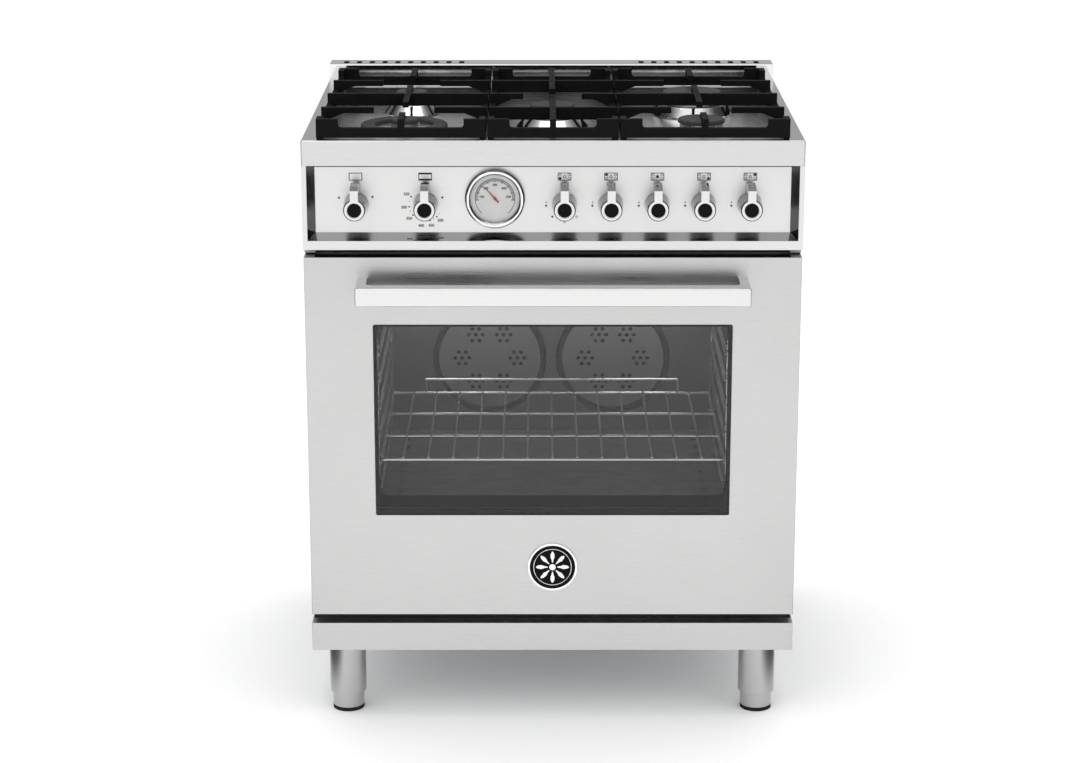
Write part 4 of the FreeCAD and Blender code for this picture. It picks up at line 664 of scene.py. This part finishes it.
def model_insert(number):
    """Black disc in a knob's face, with a shallow dish."""
    x, front, z = knob_place(number)
    insert = turned_disc(x, z, front + 0.5 * MM, front + 1.7 * MM, INSERT_RADIUS)
    edit(insert)
    pick_faces(insert, lambda centre, normal: normal.z > 0.9)
    bpy.ops.mesh.inset(thickness=INSERT_RIM)
    bpy.ops.transform.translate(value=(0, INSERT_DISH, 0))
    leave_edit()
    settle(insert, "knob_insert")
    soften(insert, 0.3 * MM, 2, 8.0)
    return insert


def apply_boolean(piece, tool, operation):
    activate(piece)
    made = piece.modifiers.new("BOOLEAN", "BOOLEAN")
    made.object = tool
    made.operation = operation
    made.solver = "EXACT"
    bpy.ops.object.modifier_apply(modifier=made.name)
    bpy.data.objects.remove(tool)


class RANGE_OT_knobs(bpy.types.Operator):
    """Model the knobs with their black inserts"""
    bl_idname = "range.knobs"
    bl_label = "Knobs"

    def execute(self, context):
        first = KNOB_NUMBERS[0]
        pattern = model_knob(first)
        disc = model_insert(first)
        for number in KNOB_NUMBERS:
            name = "knob_%d" % number
            offset = knob_place(number) - knob_place(first)
            body = twin(pattern, name + "_body", offset)
            place(body, body_of(name), "knob", name)
            # Painted shade: the knob's side and chamfer faces take a dark chrome
            darken(body, "knob_side", lambda centre, normal: -0.85 < normal.y < 0.85)
            insert = twin(disc, name + "_insert", offset)
            place(insert, body_of(name), "insert", None)
        bpy.data.objects.remove(pattern)
        bpy.data.objects.remove(disc)
        return {"FINISHED"}


# ---- gauge ----
def printed_number(text, x, y, z, size):
    """A printed number facing the front, centred on its place."""
    deselect()
    bpy.ops.object.text_add(location=(x, y, z), rotation=(math.pi / 2, 0, 0))
    label = bpy.context.object
    label.data.body = text
    label.data.size = size
    label.data.align_x = "CENTER"
    label.data.align_y = "CENTER"
    label.data.extrude = 0.05 * MM
    label.data.resolution_u = 3
    label.data.offset = 0.035 * size
    activate(label)
    bpy.ops.object.convert(target="MESH")
    return settle(bpy.context.object, "number_" + text)


def around(x, z, radius, degrees):
    """Point on a circle, counted anticlockwise from the top as seen from the front."""
    angle = math.radians(degrees)
    return x - radius * math.sin(angle), z + radius * math.cos(angle)


def radial_tick(x, z, y, start, end, width, degrees):
    """Thin printed bar along a radius."""
    tick = block(-width / 2, width / 2, y - 0.05 * MM, y + 0.05 * MM, start, end)
    settle(tick, "tick")
    edit(tick)
    bpy.ops.transform.rotate(value=math.radians(degrees), orient_axis="Y", center_override=(0, y, 0))
    bpy.ops.transform.translate(value=(x, 0, z))
    leave_edit()
    return tick


class RANGE_OT_gauge(bpy.types.Operator):
    """Finish the temperature gauge and print its scale"""
    bl_idname = "range.gauge"
    bl_label = "Gauge"

    def execute(self, context):
        bezel = finish_node("gauge_bezel", "chrome", 0.8 * MM, 3, 20.0)
        hub = centre_of("gauge_dial")
        # Painted shade: grey on the bezel's inward faces, dark on its outer side
        darken(bezel, "shade_low", lambda centre, normal: (centre - hub).dot(normal) < 0 and normal.y > -0.8)
        darken(bezel, "shade_side", lambda centre, normal: (centre - hub).dot(normal) > 0 and normal.y > -0.5)
        dial = frame["nodes"]["gauge_dial"]
        paint(dial, "dial")
        paint(frame["nodes"]["gauge_glass"], "clear")
        paint(frame["nodes"]["gauge_needle"], "needle")
        centre = centre_of("gauge_dial")
        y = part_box("gauge_dial")[0].y - 0.05 * MM
        marks = []
        for index in range(TICKS):
            long = index % 8 == 0
            marks.append(radial_tick(centre.x, centre.z, y, (24.5 if long else 26.0) * MM, TICK_END,
                                     (1.1 if long else 0.75) * MM, TICK_START - TICK_STEP * index))
        for index in range(ARC_PIECES):
            marks.append(radial_tick(centre.x, centre.z, y, TICK_END + 0.2 * MM, TICK_END + MM, 2.75 * MM,
                                     ARC_START - ARC_STEP * index))
        for number in range(5):
            x, z = around(centre.x, centre.z, DIAL_NUMBER_RING, 84 - 42 * number)
            marks.append(printed_number(str(100 + 100 * number), x, y, z, DIAL_NUMBER))
        scale = join(marks, "gauge_scale")
        place(scale, "cabinet", "ink", None)
        return {"FINISHED"}


# ---- printed marks ----
def printed_dot(x, y, z, radius, vertices=20):
    dot = turned_disc(x, z, y, y + PRINT, radius, vertices)
    return settle(dot, "dot")


def printed_ring(x, y, z, radius, width, vertices=24, thick=PRINT):
    """Thin flat ring facing the front."""
    deselect()
    bpy.ops.mesh.primitive_circle_add(vertices=vertices, radius=radius, location=(x, y, z),
                                      rotation=(math.pi / 2, 0, 0))
    ring = bpy.context.object
    settle(ring, "ring")
    edit(ring)
    bpy.ops.mesh.select_mode(type="VERT")
    bpy.ops.mesh.select_all(action="SELECT")
    bpy.ops.mesh.extrude_region_move()
    share = (radius - width) / radius
    bpy.ops.transform.resize(value=(share, 1, share), center_override=(x, y, z))
    leave_edit()
    apply_modifier(ring, "SOLIDIFY", thickness=thick, offset=0.0)
    edit(ring)
    bpy.ops.mesh.normals_make_consistent(inside=False)
    leave_edit()
    return ring


def printed_frame(x, y, z, wide, tall, line):
    """Printed rectangle outline."""
    bars = []
    for side in (-1, 1):
        edge_x = x + side * (wide - line) / 2
        bars.append(block(edge_x - line / 2, edge_x + line / 2, y, y + PRINT, z - tall / 2, z + tall / 2))
        edge_z = z + side * (tall - line) / 2
        bars.append(block(x - wide / 2 + line, x + wide / 2 - line, y, y + PRINT, edge_z - line / 2,
                          edge_z + line / 2))
    return bars


def hob_icon(x, y, z, burner):
    """Plan of the hob with one burner filled in."""
    marks = printed_frame(x, y, z, ICON_WIDE, ICON_TALL, 1.0 * MM)
    for column, row in ((-1, -1), (-1, 1), (0, 0), (1, -1), (1, 1)):
        spot = (x + column * 6.8 * MM, y, z + row * 2.9 * MM)
        if (column, row) == burner:
            marks.append(printed_dot(*spot, 2.4 * MM))
        else:
            marks.append(printed_ring(*spot, 2.2 * MM, 0.8 * MM))
    return marks


def flame_mark(x, y, z):
    """Small spark mark above a burner's high setting."""
    marks = []
    for degrees in (0, 60, 120):
        marks.append(radial_tick(x, z, y, -1.5 * MM, 1.5 * MM, 0.5 * MM, degrees))
    return marks


class RANGE_OT_marks(bpy.types.Operator):
    """Print the knobs' icons, dots and numbers on the control panel"""
    bl_idname = "range.marks"
    bl_label = "Panel marks"

    def execute(self, context):
        look = context.scene.range_marks
        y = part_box("control_panel")[0].y - look.film
        marks = []
        for number in KNOB_NUMBERS:
            low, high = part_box("knob_%d" % number)
            x = (low.x + high.x) / 2
            z = low.z + (high.x - low.x) / 2
            icon_z = z + ICON_RISE
            marks.append(block(x - OFF_MARK_HALF, x + OFF_MARK_HALF, y, y + PRINT, z + OFF_MARK_RISE - 0.4 * MM,
                               z + OFF_MARK_RISE + 0.4 * MM))
            if number in KNOB_BURNER:
                marks.extend(hob_icon(x, y, icon_z, KNOB_BURNER[number]))
                marks.append(printed_dot(*self.spot(x, y, z, look.ring, 93), look.dot))
                star_x, star_z = around(x, z, look.ring, 82)
                marks.extend(flame_mark(star_x, y, star_z))
                if number == 3:
                    marks.append(printed_dot(*self.spot(x, y, z, look.ring - 2 * MM, 135), look.dot))
                    for degrees in (180, 225):
                        spot = self.spot(x, y, z, look.ring - 1.5 * MM, degrees)
                        marks.append(printed_ring(*spot, 2.1 * MM, 0.5 * MM))
                        marks.append(printed_dot(*spot, 0.7 * MM))
                else:
                    marks.append(printed_dot(*self.spot(x, y, z, look.ring - 4 * MM, 205), look.dot))
                continue
            marks.extend(printed_frame(x, y, icon_z, ICON_WIDE, ICON_TALL, 1.2 * MM))
            if number == 1:
                for degrees in (67, -64):
                    marks.append(printed_dot(*self.spot(x, y, z, look.ring, degrees), look.dot))
                continue
            for side in (-1, 1):
                bar = icon_z + side * 4.6 * MM
                marks.append(block(x - 10 * MM, x + 10 * MM, y, y + PRINT, bar - 1.3 * MM, bar + 1.3 * MM))
            for label, degrees in (("250", 60), ("300", 97), ("350", 130), ("400", 168), ("450", 195),
                                   ("500", 223)):
                marks.append(printed_dot(*self.spot(x, y, z, look.ring - 3 * MM, degrees), look.dot * 0.8))
                spot = self.spot(x, y, z, look.ring + 5 * MM, degrees)
                marks.append(printed_number(label, *spot, look.number))
            for degrees in (78, 113, 149, 181, 209, 236):
                marks.append(printed_dot(*self.spot(x, y, z, look.ring - 3 * MM, degrees), look.dot * 0.45, 10))
            marks.append(printed_dot(*self.spot(x, y, z, look.ring, 294), look.dot))
        low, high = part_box("control_panel")
        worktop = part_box("worktop")[0]
        # Dark line under the band: partly the joint, partly painted shadow
        seam = worktop.z - (y - worktop.y) * SEAM_SHADOW_SLOPE
        marks.append(block(low.x, high.x, y, y + PRINT, seam - SEAM_SHADOW_LINE, seam))
        print_layer = join(marks, "panel_print")
        place(print_layer, "cabinet", "ink", None)
        return {"FINISHED"}

    def spot(self, x, y, z, radius, degrees):
        """Place of a mark round a knob, as x, y and z."""
        mark_x, mark_z = around(x, z, radius, degrees)
        return mark_x, y, mark_z


# ---- badge ----
class RANGE_OT_badge(bpy.types.Operator):
    """Model the round medallion on the door with a plain rosette"""
    bl_idname = "range.badge"
    bl_label = "Medallion"

    def execute(self, context):
        low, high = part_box("badge")
        x = (low.x + high.x) / 2
        z = (low.z + high.z) / 2
        radius = (high.x - low.x) / 2
        front = low.y
        rim = turned_disc(x, z, front, high.y, radius)
        edit(rim)
        pick_faces(rim, lambda centre, normal: normal.z > 0.9)
        bpy.ops.mesh.inset(thickness=BADGE_RIM)
        bpy.ops.mesh.extrude_region_move(TRANSFORM_OT_translate={"value": (0, BADGE_RECESS, 0)})
        leave_edit()
        settle(rim, "badge_rim")
        soften(rim, 0.7 * MM, 3, 30.0)
        place(rim, "door", "chrome", "badge")
        face = turned_disc(x, z, front + 0.9 * MM, front + 1.7 * MM, radius - BADGE_RIM - 0.1 * MM)
        settle(face, "badge_face")
        place(face, "door", "insert", None)
        deselect()
        bpy.ops.mesh.primitive_uv_sphere_add(segments=16, ring_count=8, radius=1, location=(0, 0, PETAL_REACH),
                                             scale=(3.4 * MM, 0.7 * MM, 9.5 * MM))
        leaf = settle(bpy.context.object, "petal")
        edit(leaf)
        pick_faces(leaf, lambda centre, normal: centre.z < 12 * MM)
        bpy.ops.transform.resize(value=(0.55, 1.0, 1.0), center_override=(0, 0, 0))
        leave_edit()
        petals = []
        for index in range(PETALS):
            petal = twin(leaf, "petal_%d" % index, (0, 0, 0))
            edit(petal)
            turn = math.radians(360 / PETALS * index)
            bpy.ops.transform.rotate(value=turn, orient_axis="Y", center_override=(0, 0, 0))
            bpy.ops.transform.translate(value=(x, front + 0.85 * MM, z))
            leave_edit()
            petals.append(petal)
        bpy.data.objects.remove(leaf)
        hub = turned_disc(x, z, front + 0.3 * MM, front + 0.9 * MM, BADGE_HUB, 48)
        petals.append(settle(hub, "hub"))
        deselect()
        bpy.ops.mesh.primitive_torus_add(location=(x, front + 0.9 * MM, z), rotation=(math.pi / 2, 0, 0),
                                         major_radius=BADGE_RING, minor_radius=0.6 * MM, major_segments=96,
                                         minor_segments=8)
        petals.append(settle(bpy.context.object, "ring"))
        rosette = join(petals, "badge_rosette")
        activate(rosette)
        bpy.ops.object.shade_smooth_by_angle(angle=math.radians(40))
        place(rosette, "door", "chrome", None)
        return {"FINISHED"}


# ---- feet ----
class RANGE_OT_feet(bpy.types.Operator):
    """Model the adjusting feet: a steel tube over a black pad"""
    bl_idname = "range.feet"
    bl_label = "Feet"

    def execute(self, context):
        names = ("foot_front_left", "foot_front_right", "foot_rear_left", "foot_rear_right")
        low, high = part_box(names[0])
        first = centre_of(names[0])
        radius = (high.x - low.x) / 2
        for part, z0, z1, finish in (("tube", PAD_THICK, high.z, "legs"), ("pad", 0.0, PAD_THICK, "rubber")):
            deselect()
            bpy.ops.mesh.primitive_cylinder_add(vertices=72, radius=radius, depth=z1 - z0,
                                                location=(first.x, first.y, (z0 + z1) / 2))
            pattern = settle(bpy.context.object, "foot_" + part)
            soften(pattern, 0.9 * MM, 3, 40.0)
            for name in names:
                piece = twin(pattern, name + "_" + part, centre_of(name) - first)
                replaced = name if part == "tube" else None
                place(piece, body_of(name), finish, replaced)
            bpy.data.objects.remove(pattern)
        return {"FINISHED"}


# ---- window ----
class RANGE_OT_window(bpy.types.Operator):
    """Dark printed border behind the door glass"""
    bl_idname = "range.window"
    bl_label = "Door glass"

    def execute(self, context):
        low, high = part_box("door_glass_outer")
        y0 = high.y + 0.05 * MM
        y1 = y0 + 0.2 * MM
        x_out = high.x - 0.5 * MM
        x_in = high.x - GLASS_OVERLAP - BORDER_SIDE
        bars = [block(-x_out, -x_in, y0, y1, low.z, high.z), block(x_in, x_out, y0, y1, low.z, high.z),
                block(-x_in, x_in, y0, y1, low.z, low.z + GLASS_OVERLAP + BORDER_LOW),
                block(-x_in, x_in, y0, y1, high.z - GLASS_OVERLAP - BORDER_SIDE, high.z)]
        border = join(bars, "glass_border")
        place(border, "door", "border", None)
        return {"FINISHED"}


# ---- finishes of the fixed nodes that keep their shape ----
CAD_FINISH = {
    "rear_panel": "zinc", "base_pan": "zinc", "front_frame": "enamel", "oven_liner": "enamel",
    "insulation": "wool", "oven_floor": "enamel", "oven_burners": "tube", "fan_covers": "cover",
    "fan_motors": "zinc", "fan_left": "core", "fan_right": "core", "rack_ladders": "wire", "oven_rack": "wire",
    "oven_gasket": "seal", "door_core": "core", "door_glass_outer": "window", "door_inner_panel": "enamel",
    "door_glass_inner": "clear", "hinge_arms": "tube", "hinge_brackets": "tube", "gas_valves": "brass",
    "gas_manifold": "tube", "burner_heads": "alloy",
}


class RANGE_OT_inside(bpy.types.Operator):
    """Finish the oven, hinges and gas parts"""
    bl_idname = "range.inside"
    bl_label = "Oven and gas parts"

    def execute(self, context):
        for name, finish in CAD_FINISH.items():
            paint(frame["nodes"][name], finish)
        for number in KNOB_NUMBERS[1:]:
            paint(frame["nodes"]["stem_%d" % number], "tube")
        low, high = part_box("fan_covers")
        radius = (high.z - low.z) / 2
        for side, x in (("left", low.x + radius), ("right", high.x - radius)):
            z = (low.z + high.z) / 2
            seam = printed_ring(x, low.y - 0.4 * MM, z, radius + MM, COVER_SEAM, 96, 0.6 * MM)
            settle(seam, "fan_cover_seam_" + side)
            place(seam, "cabinet", "core", None)
        for name in ("oven_rack", "rack_ladders", "hinge_arms", "fan_left", "fan_right", "fan_motors",
                     "burner_heads"):
            activate(frame["nodes"][name])
            bpy.ops.object.shade_smooth_by_angle(angle=math.radians(35))
        return {"FINISHED"}


# ---- stage ----
def area_light(name, place_at, aim, size, power, tall=None):
    deselect()
    bpy.ops.object.light_add(type="AREA", location=place_at)
    lamp = bpy.context.object
    lamp.name = name
    lamp.data.energy = power
    lamp.data.shape = "RECTANGLE"
    lamp.data.size = size
    lamp.data.size_y = tall or size
    lamp.rotation_euler = (Vector(aim) - Vector(place_at)).to_track_quat("-Z", "Y").to_euler()
    return lamp


def world_ramp(tree, value, start, end, low, high):
    """Smooth change of a world value from low to high between two places."""
    ramp = node(tree, "ShaderNodeMapRange", interpolation_type="SMOOTHSTEP")
    for label, number in (("From Min", start), ("From Max", end), ("To Min", low), ("To Max", high)):
        ramp.inputs[label].default_value = number
    tree.links.new(value, ramp.inputs["Value"])
    return ramp.outputs["Result"]


def make_world():
    """White surround, with darker sides and back for the metal to reflect."""
    world = bpy.data.worlds.new("Studio")
    bpy.context.scene.world = world
    world.use_nodes = True
    tree = world.node_tree
    back = tree.nodes["Background"]
    coords = node(tree, "ShaderNodeTexCoord")
    split = node(tree, "ShaderNodeSeparateXYZ")
    tree.links.new(coords.outputs["Generated"], split.inputs[0])
    aside = math_node(tree, "ABSOLUTE", split.outputs["X"])
    sides = world_ramp(tree, aside, 0.3, 0.8, 1.0, 0.06)
    rear = world_ramp(tree, split.outputs["Y"], -0.1, 0.7, 1.0, 0.45)
    seen = math_node(tree, "MULTIPLY", sides, rear)
    path = node(tree, "ShaderNodeLightPath")
    soft = math_node(tree, "MULTIPLY", path.outputs["Is Diffuse Ray"], 1.22)
    plain = math_node(tree, "MAXIMUM", path.outputs["Is Camera Ray"], soft)
    tree.links.new(math_node(tree, "MAXIMUM", seen, plain), back.inputs["Strength"])
    back.inputs["Color"].default_value = (1.0, 1.0, 1.0, 1.0)


def dim_reflected_floor(tree, shader):
    """Darken the floor to the sides, except well in front, where only glossy rays see it: a painted dark
    reflection along the metal's edges. Camera and diffuse rays still see the floor plain.
    """
    coords = node(tree, "ShaderNodeTexCoord")
    split = node(tree, "ShaderNodeSeparateXYZ")
    tree.links.new(coords.outputs["Object"], split.inputs[0])
    aside = math_node(tree, "ABSOLUTE", split.outputs["X"])
    light = world_ramp(tree, aside, 0.40, 0.60, 1.0, 0.1)
    far = world_ramp(tree, math_node(tree, "MULTIPLY", split.outputs["Y"], -1.0), 0.5, 0.9, 0.0, 1.0)
    path = node(tree, "ShaderNodeLightPath")
    direct = math_node(tree, "SUBTRACT", 1.0, path.outputs["Is Glossy Ray"])
    share = math_node(tree, "MAXIMUM", math_node(tree, "MAXIMUM", light, far), direct)
    colour = shader.inputs["Base Color"].links[0].from_socket
    dim = node(tree, "ShaderNodeMix", data_type="RGBA")
    dim.inputs["A"].default_value = (0.0, 0.0, 0.0, 1.0)
    tree.links.new(colour, dim.inputs["B"])
    tree.links.new(share, dim.inputs["Factor"])
    tree.links.new(dim.outputs["Result"], shader.inputs["Base Color"])


class RANGE_OT_stage(bpy.types.Operator):
    """Floor, soft lights and camera"""
    bl_idname = "range.stage"
    bl_label = "Stage"

    def execute(self, context):
        look = context.scene.range_stage
        deselect()
        bpy.ops.mesh.primitive_plane_add(size=30, location=(0, 0, 0))
        floor = bpy.context.object
        floor.name = "studio_floor"
        made, tree, shader = blank_material("Studio floor", tuple(look.floor), 0.0, 0.6)
        surface = place_group(tree, "cast", {"Grit": 60.0, "Lumps": 3.0})
        tint(tree, shader, surface.outputs["Cloud"], shade(look.floor, 0.99), shade(look.floor, 1.01))
        dim_reflected_floor(tree, shader)
        floor.data.materials.append(made)
        make_world()
        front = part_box("door_skin")[0].y
        area_light("key", (-1.6, front - 2.6, 2.7), (0, 0, 0.6), 2.2, 14)
        area_light("fill", (2.2, front - 2.4, 1.6), (0, 0, 0.5), 1.8, 5)
        area_light("top", (0, 0.2, 3.2), (0, 0, 0.9), 2.4, 14)
        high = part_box("oven_liner")[1]
        lamp = high.z - 12 * MM
        area_light("oven_lamp", (0, high.y - 150 * MM, lamp), (0, high.y - 50 * MM, high.z - 150 * MM), 0.46,
                   0.85, 0.03)
        deselect()
        bpy.ops.object.camera_add(location=(look.aside, front - look.distance, look.height),
                                  rotation=(math.pi / 2 - look.tilt, 0, 0))
        camera = context.object
        camera.name = "camera"
        camera.data.lens = look.lens
        camera.data.sensor_width = 36.0
        camera.data.clip_end = 100.0
        camera.data.shift_y = look.rise
        context.scene.camera = camera
        context.scene.view_settings.view_transform = "Standard"
        return {"FINISHED"}


OPERATORS = (RANGE_OT_steelwork, RANGE_OT_grates, RANGE_OT_burners, RANGE_OT_knobs, RANGE_OT_gauge,
             RANGE_OT_marks, RANGE_OT_badge, RANGE_OT_feet, RANGE_OT_window, RANGE_OT_inside, RANGE_OT_stage)


class RANGE_PT_panel(bpy.types.Panel):
    bl_label = "Gas range"
    bl_idname = "RANGE_PT_panel"
    bl_space_type = "VIEW_3D"
    bl_region_type = "UI"
    bl_category = "Range"

    def draw(self, context):
        for operator in OPERATORS:
            self.layout.operator(operator.bl_idname)
        for group in (context.scene.range_finish, context.scene.range_marks, context.scene.range_stage):
            for name in group.bl_rna.properties.keys():
                if name not in ("rna_type", "name"):
                    self.layout.prop(group, name)


CLASSES = (RangeFinish, RangeMarks, RangeStage) + OPERATORS + (RANGE_PT_panel,)


def register():
    for item in CLASSES:
        bpy.utils.register_class(item)
    bpy.types.Scene.range_finish = bpy.props.PointerProperty(type=RangeFinish)
    bpy.types.Scene.range_marks = bpy.props.PointerProperty(type=RangeMarks)
    bpy.types.Scene.range_stage = bpy.props.PointerProperty(type=RangeStage)


def unregister():
    del bpy.types.Scene.range_stage
    del bpy.types.Scene.range_marks
    del bpy.types.Scene.range_finish
    for item in reversed(CLASSES):
        bpy.utils.unregister_class(item)


def main():
    register()
    bpy.ops.range.steelwork()
    bpy.ops.range.grates()
    bpy.ops.range.burners()
    bpy.ops.range.knobs()
    bpy.ops.range.gauge()
    bpy.ops.range.marks()
    bpy.ops.range.badge()
    bpy.ops.range.feet()
    bpy.ops.range.window()
    bpy.ops.range.inside()
    bpy.ops.range.stage()
    deselect()


if __name__ == "__main__":
    main()
